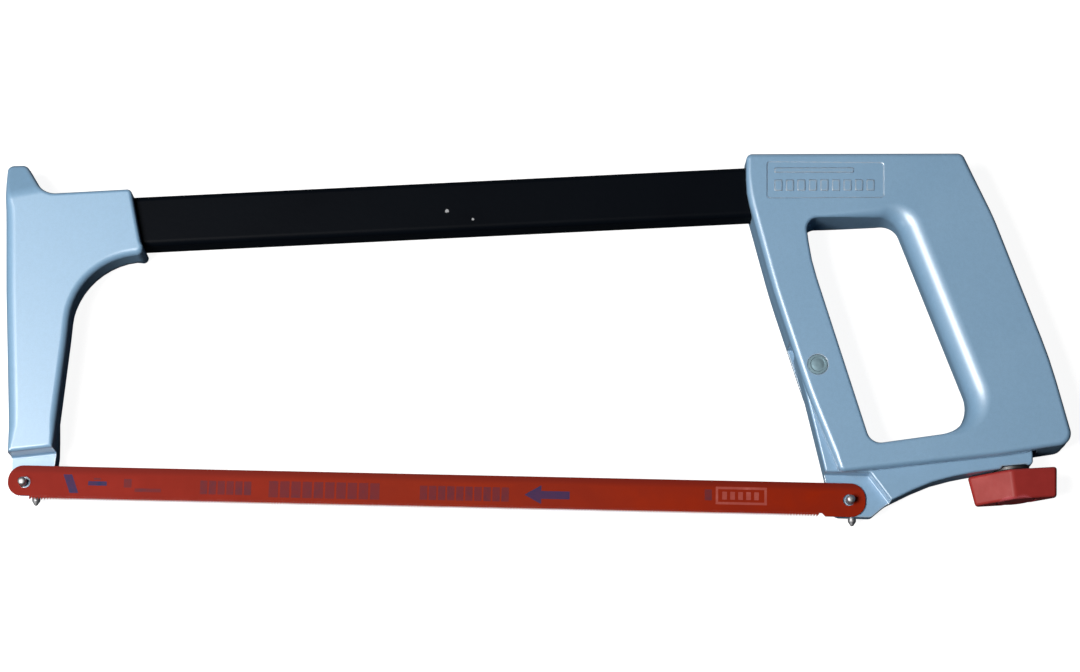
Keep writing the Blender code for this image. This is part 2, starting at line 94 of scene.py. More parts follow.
@dataclass(frozen=True)
class Datum:
    """The saw's own millimetre frame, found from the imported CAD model."""

    origin: Vector
    blade_span: float = 300.0

    @classmethod
    def from_frame(cls) -> "Datum":
        """Find the origin from the boxes of the blade and the handle.

        Returns:
            The datum whose X and Y are the blade's front hole and whose Z is the saw's middle plane.
        """
        blade_low, blade_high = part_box("blade")
        handle_low, handle_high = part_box("handle_casting")
        middle = (blade_low + blade_high) / 2
        x = middle.x - cls.blade_span / 2 * MM
        return cls(Vector((x, middle.y, (handle_low.z + handle_high.z) / 2)))

    def frame(self) -> Matrix:
        """Matrix from the saw's millimetres to world metres."""
        return Matrix.Translation(self.origin) @ Matrix.Scale(MM, 4)


DATUM = Datum.from_frame()
SAW = DATUM.frame()


def smoothstep(value: float, low: float, high: float) -> float:
    """Soft step from 0 at low to 1 at high."""
    share = min(1.0, max(0.0, (value - low) / (high - low)))
    return share * share * (3 - 2 * share)


# ---------------------------------------------------------------------------------------------------------
# Outlines
# ---------------------------------------------------------------------------------------------------------


def rounded(corners: Iterable[Corner], spacing: float = 6.0, fineness: float = 7.5) -> Outline:
    """A closed outline whose corners are arcs and whose long sides carry points in between.

    Args:
        corners: corners in order, each as x, y and its radius.
        spacing: longest side in millimetres before it gets a point in between.
        fineness: largest turn between two points of an arc, in degrees.

    Returns:
        The points of the outline.
    """
    listed = list(corners)
    points: Outline = []
    for index, (x, y, radius) in enumerate(listed):
        corner = Vector((x, y))
        before = (Vector(listed[index - 1][:2]) - corner).normalized()
        after = (Vector(listed[(index + 1) % len(listed)][:2]) - corner).normalized()
        half = before.angle(after) / 2
        if radius <= 0 or half > math.radians(89.7):
            points.append(corner)
            continue
        start = corner + before * (radius / math.tan(half))
        centre = corner + (before + after).normalized() * (radius / math.sin(half))
        end = corner + after * (radius / math.tan(half))
        sweep = math.copysign(math.pi - 2 * half, (start - centre).cross(end - centre))
        steps = max(2, math.ceil(abs(sweep) / math.radians(fineness)))
        spokes = [Matrix.Rotation(sweep * step / steps, 2) @ (start - centre) for step in range(steps + 1)]
        points += [centre + spoke for spoke in spokes]
    filled: Outline = []
    for point, after in zip(points, points[1:] + points[:1]):
        parts = max(1, math.ceil((after - point).length / spacing))
        filled += [point.lerp(after, part / parts) for part in range(parts)]
    return filled


def circle(radius: float, sides: int = 48) -> Outline:
    """Points of a circle about the origin."""
    angles = [math.tau * k / sides for k in range(sides)]
    return [Vector((radius * math.cos(angle), radius * math.sin(angle))) for angle in angles]


def hexagon(radius: float, rounding: float) -> list[Corner]:
    """Corners of a hexagon about the origin, each with its rounding."""
    return [(point.x, point.y, rounding) for point in circle(radius, 6)]


def level(outline: Outline, height: float) -> list[Vector]:
    """The points of an outline at one height."""
    return [Vector((point.x, point.y, height)) for point in outline]


def quarter(steps: int) -> list[float]:
    """Angles of a quarter turn in equal steps, both ends included."""
    return [math.pi / 2 * step / steps for step in range(steps + 1)]


def outward(outline: Outline) -> Outline:
    """Outward directions of an outline, long enough that a shift along them moves each side by one.

    Args:
        outline: a closed outline in either direction.

    Returns:
        One vector for each point.
    """
    count = len(outline)
    area = sum(outline[k - 1].cross(outline[k]) for k in range(count))
    sign = 1.0 if area > 0 else -1.0
    directions = []
    for k in range(count):
        first = (outline[k] - outline[k - 1]).normalized()
        second = (outline[(k + 1) % count] - outline[k]).normalized()
        normal = Vector((first.y + second.y, -first.x - second.x)) * sign
        normal.normalize()
        square = Vector((first.y, -first.x)) * sign
        directions.append(normal / max(0.35, normal.dot(square)))
    return directions


def widths_along(outline: Outline, normals: Outline, width: Width, slope: float = 0.3) -> list[float]:
    """Edge rounding at each point, kept from changing faster than a slope.

    Args:
        outline: the closed outline.
        normals: its outward directions.
        width: one width, or a function of point and normal.
        slope: greatest change of width for each millimetre along the outline.

    Returns:
        The widths in millimetres.
    """
    if not callable(width):
        return [width] * len(outline)
    widths = [width(point, normal) for point, normal in zip(outline, normals)]
    count = len(outline)
    for _ in range(2):
        for k in range(count):
            step = (outline[k] - outline[k - 1]).length * slope
            widths[k] = min(widths[k], widths[k - 1] + step)
        for k in reversed(range(count)):
            after = (k + 1) % count
            step = (outline[k] - outline[after]).length * slope
            widths[k] = min(widths[k], widths[after] + step)
    return widths


# ---------------------------------------------------------------------------------------------------------
# Modelling
# ---------------------------------------------------------------------------------------------------------


def clear_selection() -> None:
    """Leave object mode with nothing selected."""
    if bpy.context.object and bpy.context.object.mode != "OBJECT":
        bpy.ops.object.mode_set(mode="OBJECT")
    bpy.ops.object.select_all(action="DESELECT")


def make_active(piece: bpy.types.Object) -> None:
    """Select one piece and make it active.

    Args:
        piece: the piece.
    """
    clear_selection()
    piece.select_set(True)
    bpy.context.view_layer.objects.active = piece


def face_outward(piece: bpy.types.Object) -> None:
    """Turn all faces of a closed piece outward.

    Args:
        piece: the piece.
    """
    make_active(piece)
    bpy.ops.object.mode_set(mode="EDIT")
    bpy.ops.mesh.select_all(action="SELECT")
    bpy.ops.mesh.normals_make_consistent(inside=False)
    bpy.ops.object.mode_set(mode="OBJECT")


def loft(name: str, rings: list[list[Vector]], place: Matrix = SAW) -> bpy.types.Object:
    """Extrude a filled ring step by step through a row of rings.

    Args:
        name: name of the piece.
        rings: rings of equally many points, in the millimetres of their place.
        place: matrix from those millimetres to world metres.

    Returns:
        The closed body.
    """
    clear_selection()
    count = len(rings[0])
    bpy.ops.mesh.primitive_circle_add(vertices=count, radius=1.0, fill_type="NGON")
    piece = bpy.context.object
    piece.name = piece.data.name = name
    for step, ring in enumerate(rings):
        if step:
            bpy.ops.object.mode_set(mode="EDIT")
            bpy.ops.mesh.extrude_region_move()
            bpy.ops.object.mode_set(mode="OBJECT")
        for vertex, point in zip(piece.data.vertices[step * count:(step + 1) * count], ring):
            vertex.co = place @ point
    face_outward(piece)
    return piece


def slab(
    name: str,
    outline: Outline,
    low: float,
    high: float,
    edge: Width = 0.0,
    place: Matrix = SAW,
    low_edge: Width | None = None,
    steps: int = 6,
    seam: float = 0.0,
    taper: float = 1.0,
    draft: Width = 0.0,
) -> bpy.types.Object:
    """A plate of one outline with its edges rounded.

    Args:
        name: name of the piece.
        outline: closed outline.
        low: height of the lower face.
        high: height of the upper face.
        edge: rounding of the upper edge, and of the lower one unless low_edge is given.
        place: matrix from the outline's millimetres to world metres.
        low_edge: rounding of the lower edge.
        steps: rings in each rounding.
        seam: height of a parting seam half way up the side.
        taper: size of the lower face against the upper one.
        draft: how far the walls of the lower half lean in by the lower face.

    Returns:
        The closed body.
    """
    normals = outward(outline)
    leans = widths_along(outline, normals, draft)
    upper = widths_along(outline, normals, edge)
    lower = upper if low_edge is None else widths_along(outline, normals, low_edge)
    angles = quarter(steps)

    def ring(widths: list[float], angle: float, base: float, sign: float) -> list[Vector]:
        """One ring of a rounding.

        Args:
            widths: width of the rounding at each point.
            angle: angle from the face, in radians.
            base: height of the face.
            sign: 1 for the lower face, -1 for the upper one.

        Returns:
            The ring's points.
        """
        points = []
        for point, normal, width, lean in zip(outline, normals, widths, leans):
            z = base + sign * width * (1 - math.cos(angle))
            share = (z - low) / (high - low)
            inner = point - normal * (width * (1 - math.sin(angle)) + lean * max(0.0, 1 - 2 * share))
            size = taper + (1 - taper) * share
            points.append(Vector((inner.x * size, inner.y * size, z)))
        return points

    lower_angles = angles if max(lower) > 0 else angles[:1]
    upper_angles = angles[::-1] if max(upper) > 0 else angles[:1]
    rings = [ring(lower, angle, low, 1.0) for angle in lower_angles]
    if seam:
        middle = (low + high) / 2
        for height, grow in ((-0.45, 0.0), (-0.2, seam), (0.2, seam), (0.45, 0.0)):
            rings.append([
                Vector((point.x + normal.x * grow, point.y + normal.y * grow, middle + height))
                for point, normal in zip(outline, normals)
            ])
    rings += [ring(upper, angle, high, -1.0) for angle in upper_angles]
    return loft(name, rings, place)


def rim(outline: Outline, widths: list[float], face: float, sign: float, steps: int) -> list[list[Vector]]:
    """Rings of a rim that rolls over from a pocket's wall into the face, and one past the face.

    Args:
        outline: outline of the wall.
        widths: width of the rim at each point.
        face: height of the face.
        sign: 1 if the pocket opens upward, -1 if downward.
        steps: rings in the rounding.

    Returns:
        The rings, from the wall outward.
    """
    normals = outward(outline)
    rings = []
    for angle in quarter(steps):
        reach, fall = 1 - math.cos(angle), 1 - math.sin(angle)
        rings.append([
            (point + normal * (width * reach)).to_3d() + Vector((0, 0, face - sign * width * fall))
            for point, normal, width in zip(outline, normals, widths)
        ])
    outer = [point + normal * width for point, normal, width in zip(outline, normals, widths)]
    return [*rings, level(outer, face + sign)]


def sunk(
    name: str,
    outline: Outline,
    floor: float,
    face: float,
    lip: Width,
    place: Matrix = SAW,
    fillet: float = 0.5,
    steps: int = 6,
) -> bpy.types.Object:
    """Cutter for a pocket whose floor has a fillet and whose rim rolls over into the face.

    Args:
        name: name of the cutter.
        outline: outline of the pocket's wall.
        floor: height of the pocket's floor.
        face: height of the face that it is cut into, above or below the floor.
        lip: rounding of the rim.
        place: matrix from the outline's millimetres to world metres.
        fillet: rounding between floor and wall.
        steps: rings in each rounding.

    Returns:
        The closed cutter.
    """
    normals = outward(outline)
    sign = 1.0 if face > floor else -1.0
    rings = []
    for angle in quarter(steps):
        inset = fillet * (1 - math.sin(angle))
        height = floor + sign * fillet * (1 - math.cos(angle))
        rings.append(level([point - normal * inset for point, normal in zip(outline, normals)], height))
    rings += rim(outline, widths_along(outline, normals, lip), face, sign, steps)
    return loft(name, rings, place)


def turned(name: str, profile: list[Point], place: Matrix, sides: int = 48) -> bpy.types.Object:
    """A turned piece, from its radii and heights along the Z of its place.

    Args:
        name: name of the piece.
        profile: radius and height of each ring, in order.
        place: matrix from its millimetres to world metres.
        sides: points in each ring.

    Returns:
        The closed body.
    """
    return loft(name, [level(circle(radius, sides), height) for radius, height in profile], place)


def cut(piece: bpy.types.Object, *cutters: bpy.types.Object, operation: str = "DIFFERENCE") -> None:
    """Take cutters out of a piece, or join them to it, and remove them.

    Args:
        piece: the piece to change.
        cutters: closed bodies.
        operation: what the boolean does.
    """
    make_active(piece)
    for cutter in cutters:
        boolean = piece.modifiers.new("cut", "BOOLEAN")
        boolean.operation = operation
        boolean.solver = "EXACT"
        boolean.object = cutter
        bpy.ops.object.modifier_apply(modifier=boolean.name)
        old = cutter.data
        bpy.data.objects.remove(cutter, do_unlink=True)
        bpy.data.meshes.remove(old)


def copied(piece: bpy.types.Object, name: str, move: Matrix) -> bpy.types.Object:
    """A copy of a piece with its own mesh, placed by a matrix in world metres.

    Args:
        piece: the piece to copy.
        name: name of the copy.
        move: matrix in world metres.

    Returns:
        The copy.
    """
    made = piece.copy()
    made.data = piece.data.copy()
    made.name = made.data.name = name
    bpy.context.scene.collection.objects.link(made)
    made.data.transform(move)
    return made


def joined(name: str, pieces: list[bpy.types.Object]) -> bpy.types.Object:
    """Pieces joined into one mesh under a new name.

    Args:
        name: the new name.
        pieces: pieces to join.

    Returns:
        The joined piece.
    """
    make_active(pieces[0])
    for piece in pieces:
        piece.select_set(True)
    bpy.ops.object.join()
    made = bpy.context.object
    made.name = made.data.name = name
    return made


def shifted(x: float, y: float, z: float = 0.0) -> Matrix:
    """World move of so many millimetres."""
    return Matrix.Translation(Vector((x, y, z)) * MM)


def at(x: float, y: float, z: float = 0.0) -> Matrix:
    """Place whose origin is a point of the saw's frame."""
    return SAW @ Matrix.Translation((x, y, z))


@dataclass(frozen=True)
class Axes:
    """Axes that several pieces share, the places on them and the radii of their bores."""

    pivot: Point = (287.8, 48.1)
    nut: Point = (357.374, 31.0)
    front_hook_x: float = -0.54
    rear_hook_x: float = 300.54
    front_flush_x: float = 3.7
    rear_flush_x: float = 301.7
    flush_z: float = -5.2
    pivot_bore: float = 3.72
    pin_bore: float = 1.62
    screw_bore: float = 4.1

    def flush(self, x: float, y: float) -> Matrix:
        """Place on a flush pin's axis whose Z runs toward the tube."""
        return at(x, y, self.flush_z) @ Matrix.Rotation(math.radians(-90), 4, "X")


AXES = Axes()


def ejector_mark(x: float, y: float, half: float) -> bpy.types.Object:
    """Cutter for the shallow round mark of an ejector in a casting's far face."""
    return sunk("ejector_mark", circle(3.0, 40), -half + 0.18, -half, 0.1, at(x, y), 0.1, 3)


def finished(
    piece: bpy.types.Object,
    body: Body,
    slot: Slot,
    material: bpy.types.Material,
    *nodes: str,
    sharp: float = 32.0,
) -> bpy.types.Object:
    """Smooth, paint and attach a piece.

    Args:
        piece: the modelled piece.
        body: the body it rides on.
        slot: the record's slot for its finish; not used.
        material: its material.
        nodes: CAD nodes that it stands for.
        sharp: angle in degrees beyond which an edge stays crisp.

    Returns:
        The same piece.
    """
    make_active(piece)
    bpy.ops.object.shade_smooth_by_angle(angle=math.radians(sharp))
    weighted = piece.modifiers.new("weighted", "WEIGHTED_NORMAL")
    weighted.keep_sharp = True
    weighted.weight = 80
    bpy.ops.object.modifier_apply(modifier=weighted.name)
    piece.data.materials.clear()
    piece.data.materials.append(material)
    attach(piece, body.value)
    if nodes:
        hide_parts(*nodes)
    LOG.info("%s: %d faces, rides on %s", piece.name, len(piece.data.polygons), body.value)
    return piece


# ---------------------------------------------------------------------------------------------------------
# Shader graphs
# ---------------------------------------------------------------------------------------------------------


@dataclass
class Graph:
    """Nodes of one material or group, added and linked in order."""

    tree: bpy.types.NodeTree

    def node(self, kind: str, **settings: object) -> bpy.types.Node:
        """Add a node and set its properties.

        Args:
            kind: the node's type.
            settings: properties by name.

        Returns:
            The node.
        """
        made = self.tree.nodes.new(kind)
        for name, value in settings.items():
            setattr(made, name, value)
        return made

    def feed(self, socket: bpy.types.NodeSocket, source: Feed) -> None:
        """Link a source to a socket, or set the socket to it.

        Args:
            socket: the input.
            source: an output or a constant.
        """
        if isinstance(source, bpy.types.NodeSocket):
            self.tree.links.new(source, socket)
        else:
            socket.default_value = source

    def place(self) -> bpy.types.NodeSocket:
        """Object coordinates."""
        return self.node("ShaderNodeTexCoord").outputs["Object"]

    def mapped(
        self, vector: Feed, scale: tuple[float, float, float] = (1, 1, 1), turn: float = 0.0
    ) -> bpy.types.NodeSocket:
        """Coordinates stretched, and turned about Z.

        Args:
            vector: the coordinates.
            scale: stretch along each axis.
            turn: turn about Z in degrees.

        Returns:
            The new coordinates.
        """
        node = self.node("ShaderNodeMapping")
        self.feed(node.inputs["Vector"], vector)
        node.inputs["Scale"].default_value = scale
        node.inputs["Rotation"].default_value = (0, 0, math.radians(turn))
        return node.outputs["Vector"]

    def math(
        self, operation: str, first: Feed, second: Feed = 0.0, clamp: bool = False
    ) -> bpy.types.NodeSocket:
        """A sum, product or other function of one or two values.

        Args:
            operation: name of the function.
            first: first value.
            second: second value.
            clamp: whether the result is held between 0 and 1.

        Returns:
            The result.
        """
        node = self.node("ShaderNodeMath", operation=operation, use_clamp=clamp)
        self.feed(node.inputs[0], first)
        self.feed(node.inputs[1], second)
        return node.outputs["Value"]

    def noise(
        self, vector: Feed, scale: Feed, detail: float = 3.0, roughness: float = 0.55
    ) -> bpy.types.NodeSocket:
        """Fractal noise between 0 and 1.

        Args:
            vector: coordinates.
            scale: features in a metre.
            detail: octaves.
            roughness: weight of the finer octaves.

        Returns:
            The noise.
        """
        node = self.node("ShaderNodeTexNoise")
        self.feed(node.inputs["Vector"], vector)
        self.feed(node.inputs["Scale"], scale)
        node.inputs["Detail"].default_value = detail
        node.inputs["Roughness"].default_value = roughness
        return node.outputs["Fac"]

    def spread(
        self, value: Feed, low: Feed, high: Feed, to_low: Feed = 0.0, to_high: Feed = 1.0
    ) -> bpy.types.NodeSocket:
        """A value's range stretched softly onto another range, and held at its ends.

        Args:
            value: the value.
            low: start of its range.
            high: end of its range.
            to_low: result at low.
            to_high: result at high.

        Returns:
            The result.
        """
        node = self.node("ShaderNodeMapRange", interpolation_type="SMOOTHSTEP")
        sources = {"Value": value, "From Min": low, "From Max": high, "To Min": to_low, "To Max": to_high}
        for name, source in sources.items():
            self.feed(node.inputs[name], source)
        return node.outputs["Result"]

    def mix(self, share: Feed, first: Feed, second: Feed, blend: str = "MIX") -> bpy.types.NodeSocket:
        """Two colours mixed by a share.

        Args:
            share: 0 for the first colour and 1 for the second.
            first: first colour.
            second: second colour.
            blend: how they mix.

        Returns:
            The mixed colour.
        """
        node = self.node("ShaderNodeMix", data_type="RGBA", blend_type=blend)
        colours = [socket for socket in node.inputs if socket.type == "RGBA"]
        self.feed(node.inputs["Factor"], share)
        for socket, source in zip(colours, (first, second)):
            self.feed(socket, (*source, 1.0) if isinstance(source, tuple) else source)
        return next(socket for socket in node.outputs if socket.type == "RGBA")

    def bump(
        self, height: Feed, depth: float, strength: float = 1.0, normal: Feed | None = None
    ) -> bpy.types.NodeSocket:
        """Normal of a relief that is depth metres high.

        Args:
            height: height between 0 and 1.
            depth: its depth in metres.
            strength: share of the relief that shows.
            normal: normal to start from.

        Returns:
            The new normal.
        """
        node = self.node("ShaderNodeBump")
        node.inputs["Distance"].default_value = depth
        node.inputs["Strength"].default_value = strength
        self.feed(node.inputs["Height"], height)
        if normal is not None:
            self.feed(node.inputs["Normal"], normal)
        return node.outputs["Normal"]


class Effect(Enum):
    """Shader groups that several finishes use."""

    EDGE_WEAR = "edge wear"
    GRAIN = "fine grain"
    SMUDGES = "smudges"
    SCRATCHES = "scratches"


class EffectShelf:
    """Builds each shared effect once and places it in materials."""

    def __init__(self) -> None:
        """Start with nothing built."""
        self.groups: dict[Effect, bpy.types.NodeTree] = {}
        self.makers: dict[Effect, Callable[[], bpy.types.NodeTree]] = {
            Effect.EDGE_WEAR: self.edge_wear,
            Effect.GRAIN: self.grain,
            Effect.SMUDGES: self.smudges,
            Effect.SCRATCHES: self.scratches,
        }

    def use(self, graph: Graph, effect: Effect, **inputs: Feed) -> bpy.types.Node:
        """Place an effect in a material.

        Args:
            graph: the material's graph.
            effect: which effect.
            inputs: values for its inputs, by name with underscores for spaces.

        Returns:
            The group node.
        """
        if effect not in self.groups:
            self.groups[effect] = self.makers[effect]()
        node = graph.node("ShaderNodeGroup", node_tree=self.groups[effect])
        for name, source in inputs.items():
            graph.feed(node.inputs[name.replace("_", " ")], source)
        return node

    @staticmethod
    def group(
        effect: Effect, inputs: dict[str, float | None], outputs: tuple[str, ...]
    ) -> tuple[Graph, bpy.types.Node, bpy.types.Node]:
        """Start a group with named sockets.

        Args:
            effect: the effect that names it.
            inputs: default of each input, or None for a vector.
            outputs: names of its values.

        Returns:
            Its graph, input node and output node.
        """
        tree = bpy.data.node_groups.new(effect.value, "ShaderNodeTree")
        for name, default in inputs.items():
            kind = "NodeSocketVector" if default is None else "NodeSocketFloat"
            socket = tree.interface.new_socket(name, in_out="INPUT", socket_type=kind)
            if default is not None:
                socket.default_value = default
        for name in outputs:
            tree.interface.new_socket(name, in_out="OUTPUT", socket_type="NodeSocketFloat")
        graph = Graph(tree)
        return graph, graph.node("NodeGroupInput"), graph.node("NodeGroupOutput")

    def edge_wear(self) -> bpy.types.NodeTree:
        """Mask that is 1 where paint is rubbed off an outer edge.

        Returns:
            The group.
        """
        graph, given, out = self.group(
            Effect.EDGE_WEAR,
            {"Vector": None, "Radius": 0.001, "Amount": 0.5, "Patch Scale": 300.0},
            ("Mask",),
        )
        rounded_normal = graph.node("ShaderNodeBevel", samples=4)
        graph.feed(rounded_normal.inputs["Radius"], given.outputs["Radius"])
        plain_normal = graph.node("ShaderNodeNewGeometry").outputs["Normal"]
        product = graph.node("ShaderNodeVectorMath", operation="DOT_PRODUCT")
        graph.feed(product.inputs[0], rounded_normal.outputs["Normal"])
        graph.feed(product.inputs[1], plain_normal)
        bend = graph.math("SUBTRACT", 1.0, product.outputs["Value"], clamp=True)
        place, scale = given.outputs["Vector"], given.outputs["Patch Scale"]
        patches = graph.noise(place, scale, detail=5.0, roughness=0.7)
        strength = graph.math("MULTIPLY", graph.math("MULTIPLY", bend, 9.0), patches)
        mask = graph.spread(graph.math("MULTIPLY", strength, given.outputs["Amount"]), 0.16, 0.5)
        graph.feed(out.inputs["Mask"], mask)
        return graph.tree

    def grain(self) -> bpy.types.NodeTree:
        """Two sizes of fine grain, as a value about 0.5 and a height.

        Returns:
            The group.
        """
        graph, given, out = self.group(
            Effect.GRAIN, {"Vector": None, "Scale": 1500.0, "Coarse": 0.3}, ("Value", "Height")
        )
        fine = graph.noise(given.outputs["Vector"], given.outputs["Scale"], detail=2.0)
        coarse_scale = graph.math("MULTIPLY", given.outputs["Scale"], 0.22)
        coarse = graph.noise(given.outputs["Vector"], coarse_scale, detail=2.0)
        share = given.outputs["Coarse"]
        fine_part = graph.math("MULTIPLY", fine, graph.math("SUBTRACT", 1.0, share))
        value = graph.math("ADD", fine_part, graph.math("MULTIPLY", coarse, share))
        graph.feed(out.inputs["Value"], value)
        graph.feed(out.inputs["Height"], coarse)
        return graph.tree

    def smudges(self) -> bpy.types.NodeTree:
        """Soft uneven patches, such as handling leaves.

        Returns:
            The group.
        """
        graph, given, out = self.group(
            Effect.SMUDGES, {"Vector": None, "Scale": 28.0, "Contrast": 0.5}, ("Value",)
        )
        broad = graph.noise(given.outputs["Vector"], given.outputs["Scale"], detail=4.0, roughness=0.6)
        half = graph.math("MULTIPLY", given.outputs["Contrast"], 0.25)
        low = graph.math("SUBTRACT", 0.25, half)
        high = graph.math("SUBTRACT", 0.95, graph.math("MULTIPLY", half, 1.6))
        graph.feed(out.inputs["Value"], graph.spread(broad, low, high))
        return graph.tree

    def scratches(self) -> bpy.types.NodeTree:
        """Thin short scratches that run along the X of the coordinates.

        Returns:
            The group.
        """
        graph, given, out = self.group(
            Effect.SCRATCHES, {"Vector": None, "Scale": 40.0, "Amount": 0.3}, ("Mask",)
        )
        stretched = graph.mapped(given.outputs["Vector"], (1.0, 22.0, 22.0))
        lines = graph.noise(stretched, given.outputs["Scale"], detail=3.0, roughness=0.6)
        patches = graph.noise(given.outputs["Vector"], given.outputs["Scale"], detail=1.0)
        edge = graph.math("SUBTRACT", 0.86, graph.math("MULTIPLY", given.outputs["Amount"], 0.28))
        mask = graph.spread(lines, edge, graph.math("ADD", edge, 0.08))
        graph.feed(out.inputs["Mask"], graph.math("MULTIPLY", mask, graph.spread(patches, 0.42, 0.6)))
        return graph.tree


SHELF = EffectShelf()


# ---------------------------------------------------------------------------------------------------------
# Finishes
# ---------------------------------------------------------------------------------------------------------


@dataclass(frozen=True)
class Finish:
    """A surface finish. Subclasses say how it is built."""

    name: str

    def build(self, graph: Graph, shader: bpy.types.Node) -> None:
        """Fill the material's graph.

        Args:
            graph: the material's graph.
            shader: its Principled shader.
        """
        raise NotImplementedError

    def material(self) -> bpy.types.Material:
        """Make the material.

        Returns:
            A new material with one Principled shader.
        """
        made = bpy.data.materials.new(self.name)
        made.use_nodes = True
        made.node_tree.nodes.clear()
        graph = Graph(made.node_tree)
        shader = graph.node("ShaderNodeBsdfPrincipled")
        output = graph.node("ShaderNodeOutputMaterial")
        graph.feed(output.inputs["Surface"], shader.outputs["BSDF"])
        self.build(graph, shader)
        return made


@dataclass(frozen=True)
class CastLacquer(Finish):
    """Silver-blue lacquer on die-cast aluminium, rubbed through along its edges."""

    colour: Colour = (0.208, 0.362, 0.530)
    deep: Colour = (0.184, 0.336, 0.504)
    bare: Colour = (0.66, 0.71, 0.75)
    metallic: float = 0.08
    coat: float = 1.0
    coat_roughness: float = 0.35
    coat_ior: float = 1.85
    roughness: float = 0.55
    wear: float = 0.42
    soft_edge: float = 0.35

    def build(self, graph: Graph, shader: bpy.types.Node) -> None:
        """Lacquer with a fine metallic grain, broad unevenness, orange peel and worn edges.

        Args:
            graph: the material's graph.
            shader: its Principled shader.
        """
        place = graph.place()
        grain = SHELF.use(graph, Effect.GRAIN, Vector=place, Scale=2600.0, Coarse=0.35)
        broad = SHELF.use(graph, Effect.SMUDGES, Vector=place, Scale=26.0, Contrast=0.6)
        wear = SHELF.use(
            graph, Effect.EDGE_WEAR, Vector=place, Radius=0.0011, Amount=self.wear, Patch_Scale=420.0
        )
        turned_place = graph.mapped(place, turn=24.0)
        scratches = SHELF.use(graph, Effect.SCRATCHES, Vector=turned_place, Scale=46.0, Amount=0.2)
        tone = graph.mix(graph.math("MULTIPLY", broad.outputs["Value"], 0.55), self.colour, self.deep)
        flakes = graph.spread(grain.outputs["Value"], 0.35, 0.65, 0.96, 1.04)
        base = graph.mix(1.0, tone, self.grey(graph, flakes), "MULTIPLY")
        faint = graph.math("MULTIPLY", scratches.outputs["Mask"], 0.35)
        rubbed = graph.math("MAXIMUM", wear.outputs["Mask"], faint)
        graph.feed(shader.inputs["Base Color"], graph.mix(rubbed, base, self.bare))
        rough = graph.spread(broad.outputs["Value"], 0.0, 1.0, self.roughness + 0.05, self.roughness - 0.03)
        rough = graph.math("ADD", rough, graph.math("MULTIPLY", grain.outputs["Value"], 0.06))
        rough = graph.math("SUBTRACT", rough, graph.math("MULTIPLY", rubbed, 0.12))
        graph.feed(shader.inputs["Roughness"], rough)
        graph.feed(shader.inputs["Metallic"], graph.spread(rubbed, 0.0, 1.0, self.metallic, 0.9))
        shader.inputs["Coat Weight"].default_value = self.coat
        shader.inputs["Coat Roughness"].default_value = self.coat_roughness
        shader.inputs["Coat IOR"].default_value = self.coat_ior
        soft = graph.node("ShaderNodeBevel", samples=4)
        soft.inputs["Radius"].default_value = self.soft_edge * MM
        peel = graph.bump(grain.outputs["Height"], 0.00005, 0.28, soft.outputs["Normal"])
        waves = graph.noise(place, 95.0, detail=2.0)
        graph.feed(shader.inputs["Normal"], graph.bump(waves, 0.00045, 0.22, peel))

    @staticmethod
    def grey(graph: Graph, value: Feed) -> bpy.types.NodeSocket:
        """A value as a grey colour.

        Args:
            graph: the material's graph.
            value: the value.

        Returns:
            The colour.
        """
        node = graph.node("ShaderNodeCombineColor")
        for name in ("Red", "Green", "Blue"):
            graph.feed(node.inputs[name], value)
        return node.outputs["Color"]


